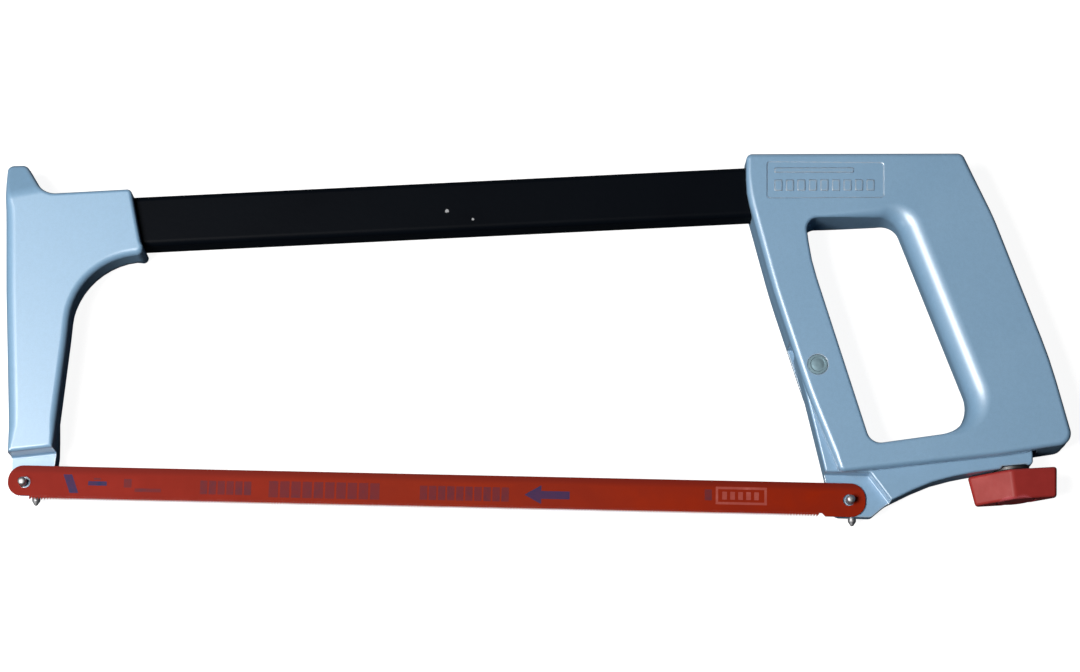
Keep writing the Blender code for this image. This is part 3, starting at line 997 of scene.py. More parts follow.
@dataclass(frozen=True)
class PowderCoat(Finish):
    """Satin black powder coat with two small chips, each given as x, y and radius in millimetres."""

    colour: Colour = (0.0008, 0.0010, 0.0022)
    grey: Colour = (0.0016, 0.0026, 0.0045)
    bare: Colour = (0.42, 0.43, 0.45)
    chips: tuple[Corner, Corner] = ((151.0, 104.1, 0.9), (160.7, 101.2, 0.6))
    near_face: float = 6.35
    specular: float = 0.045
    turn: float = -4.1

    def build(self, graph: Graph, shader: bpy.types.Node) -> None:
        """Black with a faint orange peel, dulled patches and chips.

        Args:
            graph: the material's graph.
            shader: its Principled shader.
        """
        place = graph.place()
        grain = SHELF.use(graph, Effect.GRAIN, Vector=place, Scale=2100.0, Coarse=0.5)
        broad = SHELF.use(graph, Effect.SMUDGES, Vector=place, Scale=14.0, Contrast=0.7)
        along = graph.mapped(place, turn=self.turn)
        scratches = SHELF.use(graph, Effect.SCRATCHES, Vector=along, Scale=30.0, Amount=0.42)
        wear = SHELF.use(graph, Effect.EDGE_WEAR, Vector=place, Radius=0.0008, Amount=0.16, Patch_Scale=260.0)
        chips = graph.math("MAXIMUM", *(self.chip(graph, place, *chip) for chip in self.chips))
        base = graph.mix(broad.outputs["Value"], self.colour, self.grey)
        marks = graph.math("MULTIPLY", scratches.outputs["Mask"], 0.12)
        marks = graph.math("MAXIMUM", marks, graph.math("MAXIMUM", wear.outputs["Mask"], chips))
        graph.feed(shader.inputs["Base Color"], graph.mix(marks, base, self.bare))
        rough = graph.spread(broad.outputs["Value"], 0.0, 1.0, 0.38, 0.48)
        graph.feed(shader.inputs["Roughness"], graph.math("ADD", rough, graph.math("MULTIPLY", marks, 0.2)))
        graph.feed(shader.inputs["Metallic"], graph.math("MULTIPLY", marks, 0.6))
        shader.inputs["Specular IOR Level"].default_value = self.specular
        graph.feed(shader.inputs["Normal"], graph.bump(grain.outputs["Height"], 0.00006, 0.5))

    def chip(self, graph: Graph, place: Feed, x: float, y: float, radius: float) -> bpy.types.NodeSocket:
        """Mask of one small chip with a ragged rim on the near face.

        Args:
            graph: the material's graph.
            place: object coordinates.
            x: where the chip is.
            y: where the chip is.
            radius: its radius in millimetres.

        Returns:
            A value that is 1 in the chip.
        """
        centre = SAW @ Vector((x, y, self.near_face))
        distance = graph.node("ShaderNodeVectorMath", operation="DISTANCE")
        graph.feed(distance.inputs[0], place)
        distance.inputs[1].default_value = centre
        ragged = graph.math("MULTIPLY", graph.noise(place, 1600.0, detail=2.0), 1.2 * radius * MM)
        reach = graph.math("ADD", distance.outputs["Value"], ragged)
        return graph.spread(reach, 1.25 * radius * MM, 1.45 * radius * MM, 0.8, 0.0)


@dataclass(frozen=True)
class BladeEnamel(Finish):
    """Orange-red enamel, with painted shade along the blade's back and a painted pinkish glare toward the
    front that fades toward the handle.
    """

    # front, middle and rear paint a pinkish glare at the front that fades toward the handle
    front: Colour = (0.235, 0.0150, 0.0080)
    middle: Colour = (0.245, 0.0200, 0.0050)
    rear: Colour = (0.255, 0.0150, 0.0015)
    bare: Colour = (0.40, 0.37, 0.35)
    # colour of the painted shade along the blade's back
    dark: Colour = (0.105, 0.0085, 0.0060)
    top: float = 6.2
    painted_shade_band: float = 5.0
    specular: float = 0.06

    def build(self, graph: Graph, shader: bpy.types.Node) -> None:
        """Enamel whose colour drifts along the blade as painted glare, with painted shade along its back,
        rubbed edges and lengthwise scratches.

        Args:
            graph: the material's graph.
            shader: its Principled shader.
        """
        place = graph.place()
        split = graph.node("ShaderNodeSeparateXYZ")
        graph.feed(split.inputs["Vector"], place)
        start = SAW.translation.x
        half = start + DATUM.blade_span / 2 * MM
        end = start + DATUM.blade_span * MM
        along = split.outputs["X"]
        # painted glare: the colour drifts from the front's pinkish glare to the rear
        first = graph.mix(graph.spread(along, start, half), self.front, self.middle)
        painted_glare_drift = graph.mix(graph.spread(along, half, end), first, self.rear)
        broad = SHELF.use(graph, Effect.SMUDGES, Vector=place, Scale=60.0, Contrast=0.6)
        grain = SHELF.use(graph, Effect.GRAIN, Vector=place, Scale=2400.0, Coarse=0.4)
        scratches = SHELF.use(graph, Effect.SCRATCHES, Vector=place, Scale=34.0, Amount=0.2)
        wear = SHELF.use(graph, Effect.EDGE_WEAR, Vector=place, Radius=0.0003, Amount=0.16, Patch_Scale=330.0)
        # painted shade: the enamel darkens toward the blade's back, taken together with smudged tone
        top = SAW.translation.y + self.top * MM
        painted_shade_and_smudges = graph.spread(split.outputs["Y"], top - self.painted_shade_band * MM, top, 0.0, 0.75)
        painted_shade_and_smudges = graph.math("MAXIMUM", painted_shade_and_smudges, graph.math("MULTIPLY", broad.outputs["Value"], 0.35))
        base = graph.mix(painted_shade_and_smudges, painted_glare_drift, self.dark)
        marks = graph.math("MULTIPLY", scratches.outputs["Mask"], 0.16)
        marks = graph.math("MAXIMUM", marks, graph.math("MULTIPLY", wear.outputs["Mask"], 0.4))
        graph.feed(shader.inputs["Base Color"], graph.mix(marks, base, self.bare))
        rough = graph.spread(broad.outputs["Value"], 0.0, 1.0, 0.40, 0.52)
        graph.feed(shader.inputs["Roughness"], graph.math("ADD", rough, graph.math("MULTIPLY", marks, 0.1)))
        graph.feed(shader.inputs["Metallic"], graph.math("MULTIPLY", marks, 0.7))
        shader.inputs["Specular IOR Level"].default_value = self.specular
        graph.feed(shader.inputs["Normal"], graph.bump(grain.outputs["Height"], 0.00004, 0.4))


@dataclass(frozen=True)
class Ink(Finish):
    """Printing ink on the enamel, worn so that the enamel shows through."""

    colour: Colour = (0.10, 0.03, 0.08)
    under: Colour = (0.205, 0.016, 0.007)
    cover: float = 0.75
    specular: float = 0.06

    def build(self, graph: Graph, shader: bpy.types.Node) -> None:
        """Ink broken up by fine wear.

        Args:
            graph: the material's graph.
            shader: its Principled shader.
        """
        place = graph.place()
        grain = SHELF.use(graph, Effect.GRAIN, Vector=place, Scale=1700.0, Coarse=0.6)
        broad = SHELF.use(graph, Effect.SMUDGES, Vector=place, Scale=150.0, Contrast=0.8)
        fine_wear = graph.math("MULTIPLY", grain.outputs["Value"], 0.6)
        worn = graph.math("ADD", fine_wear, graph.math("MULTIPLY", broad.outputs["Value"], 0.4))
        share = graph.spread(worn, 0.25, 0.75, min(1.0, self.cover + 0.2), self.cover - 0.25)
        graph.feed(shader.inputs["Base Color"], graph.mix(share, self.under, self.colour))
        graph.feed(shader.inputs["Roughness"], graph.spread(grain.outputs["Value"], 0.3, 0.7, 0.42, 0.58))
        shader.inputs["Specular IOR Level"].default_value = self.specular
        graph.feed(shader.inputs["Normal"], graph.bump(grain.outputs["Height"], 0.00002, 0.3))


@dataclass(frozen=True)
class Steel(Finish):
    """Bare or plated steel with a fine brushed grain."""

    colour: Colour = (0.42, 0.43, 0.45)
    stain: Colour = (0.24, 0.23, 0.22)
    roughness: float = 0.42
    stained: float = 0.35

    def build(self, graph: Graph, shader: bpy.types.Node) -> None:
        """Metal with brush lines and dull spots.

        Args:
            graph: the material's graph.
            shader: its Principled shader.
        """
        place = graph.place()
        brushed = graph.mapped(place, (0.25, 1, 1))
        grain = SHELF.use(graph, Effect.GRAIN, Vector=brushed, Scale=3200.0, Coarse=0.4)
        broad = SHELF.use(graph, Effect.SMUDGES, Vector=place, Scale=240.0, Contrast=0.8)
        spots = graph.math("MULTIPLY", broad.outputs["Value"], self.stained)
        base = graph.mix(spots, self.colour, self.stain)
        graph.feed(shader.inputs["Base Color"], base)
        graph.feed(shader.inputs["Metallic"], graph.spread(spots, 0.0, 1.0, 1.0, 0.75))
        rough = graph.spread(grain.outputs["Value"], 0.3, 0.7, self.roughness - 0.06, self.roughness + 0.10)
        graph.feed(shader.inputs["Roughness"], graph.math("ADD", rough, graph.math("MULTIPLY", spots, 0.2)))
        graph.feed(shader.inputs["Normal"], graph.bump(grain.outputs["Value"], 0.00003, 0.4))


@dataclass(frozen=True)
class WornPlastic(Finish):
    """Moulded plastic, polished by use and pale along its edges, partly from wear and partly as a painted
    highlight.
    """

    colour: Colour = (0.345, 0.034, 0.030)
    deep: Colour = (0.255, 0.022, 0.019)
    # pale: pink of worn edges, also a painted highlight on the knob's ridges
    pale: Colour = (0.66, 0.17, 0.22)
    specular: float = 0.2

    def build(self, graph: Graph, shader: bpy.types.Node) -> None:
        """Red plastic with scuffs, a fine moulded texture and pale ridges that are partly worn and partly a
        painted highlight.

        Args:
            graph: the material's graph.
            shader: its Principled shader.
        """
        place = graph.place()
        grain = SHELF.use(graph, Effect.GRAIN, Vector=place, Scale=1800.0, Coarse=0.4)
        broad = SHELF.use(graph, Effect.SMUDGES, Vector=place, Scale=110.0, Contrast=0.7)
        wear = SHELF.use(graph, Effect.EDGE_WEAR, Vector=place, Radius=0.0013, Amount=0.6, Patch_Scale=380.0)
        turned_place = graph.mapped(place, turn=60.0)
        scratches = SHELF.use(graph, Effect.SCRATCHES, Vector=turned_place, Scale=90.0, Amount=0.3)
        base = graph.mix(graph.math("MULTIPLY", broad.outputs["Value"], 0.7), self.colour, self.deep)
        # the edge mask is partly wear and partly a painted highlight along the knob's ridges
        rubbed = graph.math("MULTIPLY", wear.outputs["Mask"], 0.7)
        scuffs_and_highlight = graph.math("MAXIMUM", rubbed, graph.math("MULTIPLY", scratches.outputs["Mask"], 0.3))
        graph.feed(shader.inputs["Base Color"], graph.mix(scuffs_and_highlight, base, self.pale))
        rough = graph.spread(broad.outputs["Value"], 0.0, 1.0, 0.30, 0.46)
        graph.feed(shader.inputs["Roughness"], graph.math("ADD", rough, graph.math("MULTIPLY", scuffs_and_highlight, 0.12)))
        shader.inputs["Specular IOR Level"].default_value = self.specular
        graph.feed(shader.inputs["Normal"], graph.bump(grain.outputs["Height"], 0.00008, 0.5))


def dressing(finish: Finish) -> bpy.types.Material:
    """Dataclass field whose value is a finish's material."""
    return field(default_factory=finish.material)


@dataclass
class Finishes:
    """Every material of the saw, made once."""

    cast: bpy.types.Material = dressing(CastLacquer("cast_lacquer"))
    tube: bpy.types.Material = dressing(PowderCoat("black_powder_coat"))
    blade: bpy.types.Material = dressing(BladeEnamel("blade_enamel"))
    navy: bpy.types.Material = dressing(Ink("navy_ink", (0.006, 0.026, 0.085), cover=1.0))
    purple: bpy.types.Material = dressing(Ink("purple_ink", (0.062, 0.022, 0.036), cover=0.72))
    pale: bpy.types.Material = dressing(Ink("pale_ink", (0.42, 0.11, 0.09), cover=0.62))
    bright: bpy.types.Material = dressing(Steel("zinc_plate"))
    pivot: bpy.types.Material = dressing(
        Steel("dull_zinc", (0.27, 0.40, 0.46), (0.22, 0.32, 0.37), roughness=0.55, stained=0.5)
    )
    dark: bpy.types.Material = dressing(
        Steel("oiled_steel", (0.16, 0.165, 0.175), (0.06, 0.055, 0.05), roughness=0.36, stained=0.6)
    )
    red: bpy.types.Material = dressing(WornPlastic("red_plastic_worn"))


# ---------------------------------------------------------------------------------------------------------
# The frame: two castings and the tube
# ---------------------------------------------------------------------------------------------------------


@dataclass(frozen=True)
class Tube:
    """Rectangular steel tube that rises toward the handle."""

    height: float = 19.05
    depth: float = 12.7
    wall: float = 1.5
    corner: float = 2.2
    slope: float = 0.0725
    centre_at_front: float = 95.0
    ends: Point = (11.5, 302.0)
    fit_gap: float = 0.25
    pin_hole: float = 2.12
    pin_depth: float = -3.9

    def centre(self, x: float) -> float:
        """Height of the centre line at x."""
        return self.centre_at_front + self.slope * x

    def place(self, x: float) -> Matrix:
        """Place on the centre line whose Z runs along the tube and whose X is its height.

        Args:
            x: where on the saw.

        Returns:
            The place.
        """
        angle = math.atan(self.slope)
        along = Vector((math.cos(angle), math.sin(angle), 0))
        height = Vector((-math.sin(angle), math.cos(angle), 0))
        turn = Matrix((height, Vector((0, 0, 1)), along)).transposed()
        return at(x, self.centre(x)) @ turn.to_4x4()

    def section(self, grow: float = 0.0) -> Outline:
        """The tube's section, larger by grow.

        Args:
            grow: how much larger on each side.

        Returns:
            The section's outline.
        """
        high = self.height / 2 + grow
        wide = self.depth / 2 + grow
        corner = self.corner + grow
        signs = ((1, 1), (-1, 1), (-1, -1), (1, -1))
        return rounded([(up * high, side * wide, corner) for up, side in signs])

    def length(self, x_from: float, x_to: float) -> float:
        """Distance along the tube between two x."""
        return (x_to - x_from) / math.cos(math.atan(self.slope))

    def socket(self, x_from: float, x_to: float) -> bpy.types.Object:
        """Cutter for the pocket that a casting holds the tube in."""
        length = self.length(x_from, x_to)
        return slab("socket", self.section(self.fit_gap), 0, length, place=self.place(x_from))

    def pin_bore(self, x: float) -> bpy.types.Object:
        """Cutter for a tube pin's bore, countersunk in the casting's far face."""
        profile = [(2.7, -12), (2.7, -10.4), (self.pin_hole, -9.9), (self.pin_hole, self.pin_depth)]
        return turned("tube_pin_bore", profile, at(x, self.centre(x)), 32)

    def build(self, pin_xs: Iterable[float], finishes: Finishes) -> None:
        """Model the tube with its bore and its pin holes.

        Args:
            pin_xs: where pins go through its far wall.
            finishes: the saw's materials.
        """
        length = self.length(*self.ends)
        tube = slab("top_tube_coated", self.section(), 0, length, 0.3, self.place(self.ends[0]), steps=2)
        cut(tube, slab("bore", self.section(-self.wall), -2, length + 2, place=self.place(self.ends[0])))
        for x in pin_xs:
            profile = [(self.pin_hole, -12), (self.pin_hole, self.pin_depth)]
            cut(tube, turned("pin_hole", profile, at(x, self.centre(x)), 24))
        finished(tube, Body.FRAME, Slot.TUBE, finishes.tube, "top_tube")


@dataclass(frozen=True)
class FrontCasting:
    """Front end: socket for the tube above, seat for the blade below, a horn at the nose."""

    half: float = 10.5
    rounding: float = 1.4
    nose_rounding: float = 4.2
    throat_rounding: float = 2.5
    throat_back_rounding: float = 4.4
    throat_draft: float = 1.9
    seam: float = 0.1
    corners: tuple[Corner, ...] = (
        (-12.9, 118.8, 2.2),
        (-9.9, 70.0, 300),
        (-5.1, 10.0, 200),
        (-5.2, -5.4, 5.0),
        (9.4, -5.4, 5.0),
        (10.8, 10.3, 60),
        (13.8, 52.0, 200),
        (15.3, 80.6, 26),
        (41.4, 84.7, 2.6),
        (38.9, 89.0, 6),
        (34.3, 109.0, 1.8),
        (2.2, 106.5, 7.5),
        (-5.8, 119.0, 3.2),
    )
    seat: tuple[Corner, ...] = ((-20, -14, 0), (24, -14, 0), (24, 13.2, 0), (-20, 7.3, 0))
    seat_z: float = -0.15
    crease: Point = (-11.0, 103.5)
    crease_turn: float = 12.0
    crease_width: float = 4.0
    horn_slope: float = 0.52
    seam_half: float = 0.6
    pin_xs: Point = (18.0, 31.0)
    ejectors: tuple[Point, ...] = ((-2.5, 92.0), (3.5, 30.0))

    def edge(self, point: Vector, normal: Vector) -> float:
        """Rounding of the outline's edges, widest down the nose and wide round the throat.

        Args:
            point: a point of the outline.
            normal: its outward direction.

        Returns:
            The rounding in millimetres.
        """
        facing = smoothstep(-normal.normalized().x, 0.7, 0.95)
        along = smoothstep(point.y, 8.0, 22.0) * (1 - smoothstep(point.y, 98.0, 112.0))
        wide = (self.throat_rounding - self.rounding) * self.throat(point, normal)
        return self.rounding + (self.nose_rounding - self.rounding) * facing * along + wide

    def throat(self, point: Vector, normal: Vector) -> float:
        """Share of the throat's side and the foot at a point of the outline.

        Args:
            point: a point of the outline.
            normal: its outward direction.

        Returns:
            A share from 0 to 1.
        """
        facing = normal.normalized()
        side = smoothstep(facing.x - facing.y, 0.5, 0.9)
        side *= smoothstep(point.y, 12.0, 24.0) * (1 - smoothstep(point.y, 86.0, 90.0))
        foot = smoothstep(-facing.y, 0.4, 0.8) * (1 - smoothstep(point.y, -3.0, 3.0))
        return max(side, foot)

    def back_edge(self, point: Vector, normal: Vector) -> float:
        """Rounding of the far side's edges, wide round the throat."""
        wide = (self.throat_back_rounding - self.throat_rounding) * self.throat(point, normal)
        return self.edge(point, normal) + wide

    def lean(self, point: Vector, normal: Vector) -> float:
        """Draft of the far half's walls round the throat."""
        return self.throat_draft * self.throat(point, normal)

    def thin_the_horn(self, casting: bpy.types.Object) -> None:
        """Cut the faces along a few lines across the horn, and slope them toward its tip.

        Args:
            casting: the casting before its pockets are cut.
        """
        turn = math.radians(self.crease_turn)
        across = Vector((-math.sin(turn), math.cos(turn), 0))
        start = Vector((*self.crease, 0))
        make_active(casting)
        bpy.ops.object.mode_set(mode="EDIT")
        for step in range(5):
            bpy.ops.mesh.select_all(action="SELECT")
            line = start + across * (self.crease_width * step / 4)
            bpy.ops.mesh.bisect(plane_co=SAW @ line, plane_no=across)
        bpy.ops.object.mode_set(mode="OBJECT")
        inverse = SAW.inverted()
        for vertex in casting.data.vertices:
            local = inverse @ vertex.co
            beyond = (local - start).dot(across)
            if beyond > 0 and abs(local.z) > self.seam_half:
                curved = beyond * beyond / (2 * self.crease_width)
                run = curved if beyond < self.crease_width else beyond - self.crease_width / 2
                local.z -= math.copysign(self.horn_slope * run, local.z)
                vertex.co = SAW @ local

    def build(self, tube: Tube, finishes: Finishes) -> None:
        """Model the casting.

        Args:
            tube: the tube that its socket holds.
            finishes: the saw's materials.
        """
        casting = slab(
            "front_casting_lacquered", rounded(self.corners), -self.half, self.half, self.edge,
            low_edge=self.back_edge, seam=self.seam, draft=self.lean,
        )
        self.thin_the_horn(casting)
        bore = AXES.pin_bore
        cut(
            casting,
            sunk("seat", rounded(self.seat), self.seat_z, self.half, 1.5, fillet=0.9),
            tube.socket(tube.ends[0] - tube.fit_gap, 60),
            turned("pin_bore", [(bore, -8.12), (bore, 2)], at(AXES.front_hook_x, 0), 32),
            turned("flush_bore", [(bore, 0), (bore, 12)], AXES.flush(AXES.front_flush_x, -11.4), 32),
        )
        for x in self.pin_xs:
            cut(casting, tube.pin_bore(x))
        for x, y in self.ejectors:
            cut(casting, ejector_mark(x, y, self.half))
        finished(casting, Body.FRAME, Slot.CAST, finishes.cast, "front_casting")


@dataclass(frozen=True)
class HandleCasting:
    """Closed handle: tube socket, finger hole, lever slot, nut bore and nameplate recess."""

    half: float = 10.5
    rounding: float = 1.8
    leg_rounding: float = 2.4
    grip_back_rounding: float = 1.5
    seam: float = 0.1
    corners: tuple[Corner, ...] = (
        (261.3, 127.6, 2.2),
        (261.4, 113.0, 40),
        (271.4, 76.5, 250),
        (284.0, 38.5, 200),
        (296.0, 8.6, 2.6),
        (355.0, 16.5, 100),
        (380.9, 21.2, 4.6),
        (372.4, 52.5, 170),
        (352.6, 105.3, 90),
        (341.3, 129.6, 2.8),
    )
    hole: tuple[Corner, ...] = (
        (283.2, 103.6, 4.5),
        (285.4, 87.5, 80),
        (307.2, 19.2, 5.0),
        (347.4, 25.8, 12.0),
        (316.6, 105.0, 8.0),
    )
    hole_rounding: float = 1.2
    grip_rounding: float = 8.4
    grip_normal: Vector = field(default_factory=lambda: Vector((0.936, 0.352)))
    grip_reach: Point = (305.0, 334.0)
    slot: tuple[Corner, ...] = (
        (268.0, 57.0, 0),
        (268.0, -6.0, 0),
        (368.0, -6.0, 0),
        (368.0, 24.4, 1.5),
        (332.0, 18.4, 30),
        (305.2, 15.6, 4.5),
        (300.4, 25.4, 20),
        (295.0, 46.5, 20),
        (294.8, 57.0, 5),
    )
    slot_half: float = 6.5
    plate: tuple[Corner, ...] = ((269, 124.4, 1), (269, 110.6, 1), (312, 111.8, 1), (312, 125.0, 1))
    plate_depth: float = 0.2
    rib: tuple[Corner, ...] = ((0, 0, 0.5), (3.0, 0, 0.5), (3.0, 4.4, 0.5), (0, 4.4, 0.5))
    long_rib: tuple[Corner, ...] = (
        (271.6, 120.2, 0.5), (271.6, 122.3, 0.5), (301.0, 123.0, 0.5), (301.0, 120.9, 0.5),
    )
    rib_start: Point = (271.6, 113.3)
    rib_pitch: float = 4.25
    rib_rise: float = 0.025
    ribs: int = 9
    pin_xs: Point = (271.0, 292.0)
    ejectors: tuple[Point, ...] = ((325.0, 118.0), (358.0, 74.0), (366.0, 42.0), (291.0, 34.0))

    def edge(self, point: Vector, normal: Vector) -> float:
        """Rounding of the outline's edges: tight down the grip's back, wider down the leg.

        Args:
            point: a point of the outline.
            normal: its outward direction.

        Returns:
            The rounding in millimetres.
        """
        facing = normal.normalized()
        back = smoothstep(facing.x, 0.8, 0.93) * smoothstep(point.y, 26.0, 40.0)
        back *= 1 - smoothstep(point.y, 108.0, 122.0)
        leg = smoothstep(-facing.x, 0.8, 0.93) * (1 - smoothstep(point.y, 112.0, 122.0))
        width = self.rounding + (self.grip_back_rounding - self.rounding) * back
        return width + (self.leg_rounding - self.rounding) * leg

    def hole_edge(self, point: Vector, normal: Vector) -> float:
        """Rounding of the finger hole's edge, widest where the hole meets the grip.

        Args:
            point: a point of the outline.
            normal: its outward direction.

        Returns:
            The rounding in millimetres.
        """
        near, far = self.grip_reach
        facing = normal.normalized()
        share = smoothstep(point.dot(self.grip_normal), near, far)
        share *= max(0.0, facing.dot(self.grip_normal)) ** 0.9
        return self.hole_rounding + (self.grip_rounding - self.hole_rounding) * share

    def finger_hole(self) -> bpy.types.Object:
        """Cutter for the finger hole, whose two ends flare.

        Returns:
            The closed cutter.
        """
        outline = rounded(self.hole, spacing=4.0)
        widths = widths_along(outline, outward(outline), self.hole_edge, slope=2.0)
        far, near = (rim(outline, widths, side * self.half, side, 10) for side in (-1, 1))
        return loft("finger_hole", far[::-1] + near)

    def nameplate_ribs(self, finishes: Finishes) -> None:
        """Plain raised ribs in the recess: one long, and a row of short ones.

        Args:
            finishes: the saw's materials.
        """
        base = self.half - self.plate_depth - 0.05
        top = self.half - 0.06
        rib = slab("rib", rounded(self.rib, fineness=20), base, top, 0.22, steps=3)
        ribs = []
        for number in range(self.ribs):
            x = self.rib_start[0] + number * self.rib_pitch
            move = shifted(x, self.rib_start[1] + self.rib_rise * (x - 271), 0)
            ribs.append(copied(rib, f"rib_{number}", move))
        bpy.data.objects.remove(rib, do_unlink=True)
        ribs.append(slab("rib_long", rounded(self.long_rib, fineness=20), base, top, 0.22, steps=3))
        finished(joined("nameplate_ribs", ribs), Body.FRAME, Slot.CAST, finishes.cast)

    def build(self, tube: Tube, screw: "ScrewLine", finishes: Finishes) -> None:
        """Model the casting and the ribs of its nameplate.

        Args:
            tube: the tube that its socket holds.
            screw: the line of the tension screw.
            finishes: the saw's materials.
        """
        half, outline = self.half, rounded(self.corners)
        casting = slab("handle_casting_lacquered", outline, -half, half, self.edge, seam=self.seam)
        cut(
            casting,
            self.finger_hole(),
            slab("lever_slot", rounded(self.slot), -self.slot_half, self.slot_half, 0.8, steps=3),
            tube.socket(240, tube.ends[1] + tube.fit_gap),
            turned("pivot_bore", [(AXES.pivot_bore, -12), (AXES.pivot_bore, 12)], at(*AXES.pivot)),
            turned("nut_bore", [(6.4, -12), (6.4, -10.5), (5.75, -9.9), (5.75, 6.85)], at(*AXES.nut)),
            turned("screw_bore", [(AXES.screw_bore, 14), (AXES.screw_bore, 36)], screw.place()),
            sunk("nameplate", rounded(self.plate), half - self.plate_depth, half, 0.35, fillet=0.15, steps=4),
        )
        for x in self.pin_xs:
            cut(casting, tube.pin_bore(x))
        for x, y in self.ejectors:
            cut(casting, ejector_mark(x, y, half))
        finished(casting, Body.FRAME, Slot.CAST, finishes.cast, "handle_casting")
        self.nameplate_ribs(finishes)


# ---------------------------------------------------------------------------------------------------------
# The tensioner: lever, screw, nut, washer and knob
# ---------------------------------------------------------------------------------------------------------


@dataclass(frozen=True)
class ScrewLine:
    """Line of the tension screw, whose distances run from the knob's centre to the nut."""

    centre: Point = (360.2, 6.2)
    lean: float = 6.5

    def place(self, turn: float = 0.0) -> Matrix:
        """Place whose Z runs along the screw, turned about it by so many degrees.

        Args:
            turn: the turn in degrees.

        Returns:
            The place.
        """
        lean = math.radians(self.lean)
        axis = Vector((-math.sin(lean), math.cos(lean), 0))
        across = Vector((axis.y, -axis.x, 0))
        basis = Matrix((across, Vector((0, 0, -1)), axis)).transposed().to_4x4()
        return at(*self.centre) @ basis @ Matrix.Rotation(math.radians(turn), 4, "Z")


@dataclass(frozen=True)
class TensionLever:
    """Bell crank that carries the rear blade pin and is drawn up by the knob."""

    half: float = 6.0
    rounding: float = 0.9
    corners: tuple[Corner, ...] = (
        (279.2, 55.0, 2.8),
        (283.9, 38.2, 60),
        (287.2, 25.0, 120),
        (292.1, 5.0, 60),
        (294.4, -5.9, 3.2),
        (308.2, -6.0, 2.6),
        (313.2, -1.6, 12),
        (329.6, 6.9, 60),
        (344.3, 10.2, 80),
        (366.4, 13.7, 1.6),
        (366.4, 23.6, 1.6),
        (331.6, 17.8, 30),
        (304.2, 14.9, 5.5),
        (299.4, 25.0, 20),
        (293.9, 46.5, 10),
        (293.9, 55.0, 5),
    )
    seat: tuple[Corner, ...] = ((284, -14, 0), (325.0, -14, 0), (307.2, 9.3, 1.5), (284, 9.3, 0))
    seat_z: float = -0.15
    seam: float = 0.08

    def build(self, screw: ScrewLine, finishes: Finishes) -> None:
        """Model the lever.

        Args:
            screw: the line of the tension screw.
            finishes: the saw's materials.
        """
        outline = rounded(self.corners)
        lever = slab(
            "tension_lever_lacquered", outline, -self.half, self.half, self.rounding, steps=5, seam=self.seam
        )
        bore = AXES.pin_bore
        cut(
            lever,
            sunk("seat", rounded(self.seat), self.seat_z, self.half, 0.9, fillet=0.5),
            turned("pivot_bore", [(AXES.pivot_bore, -8), (AXES.pivot_bore, 8)], at(*AXES.pivot)),
            turned("pin_bore", [(bore, -4.72), (bore, 4)], at(AXES.rear_hook_x, 0), 32),
            turned("flush_bore", [(bore, 0), (bore, 9.72)], AXES.flush(AXES.rear_flush_x, -12.0), 32),
            turned("foot_hole", [(AXES.screw_bore, 3), (AXES.screw_bore, 24)], screw.place()),
            turned("spot_face", [(7.4, -1), (7.4, 7.15)], screw.place()),
        )
        finished(lever, Body.LEVER, Slot.CAST, finishes.cast, "tension_lever")


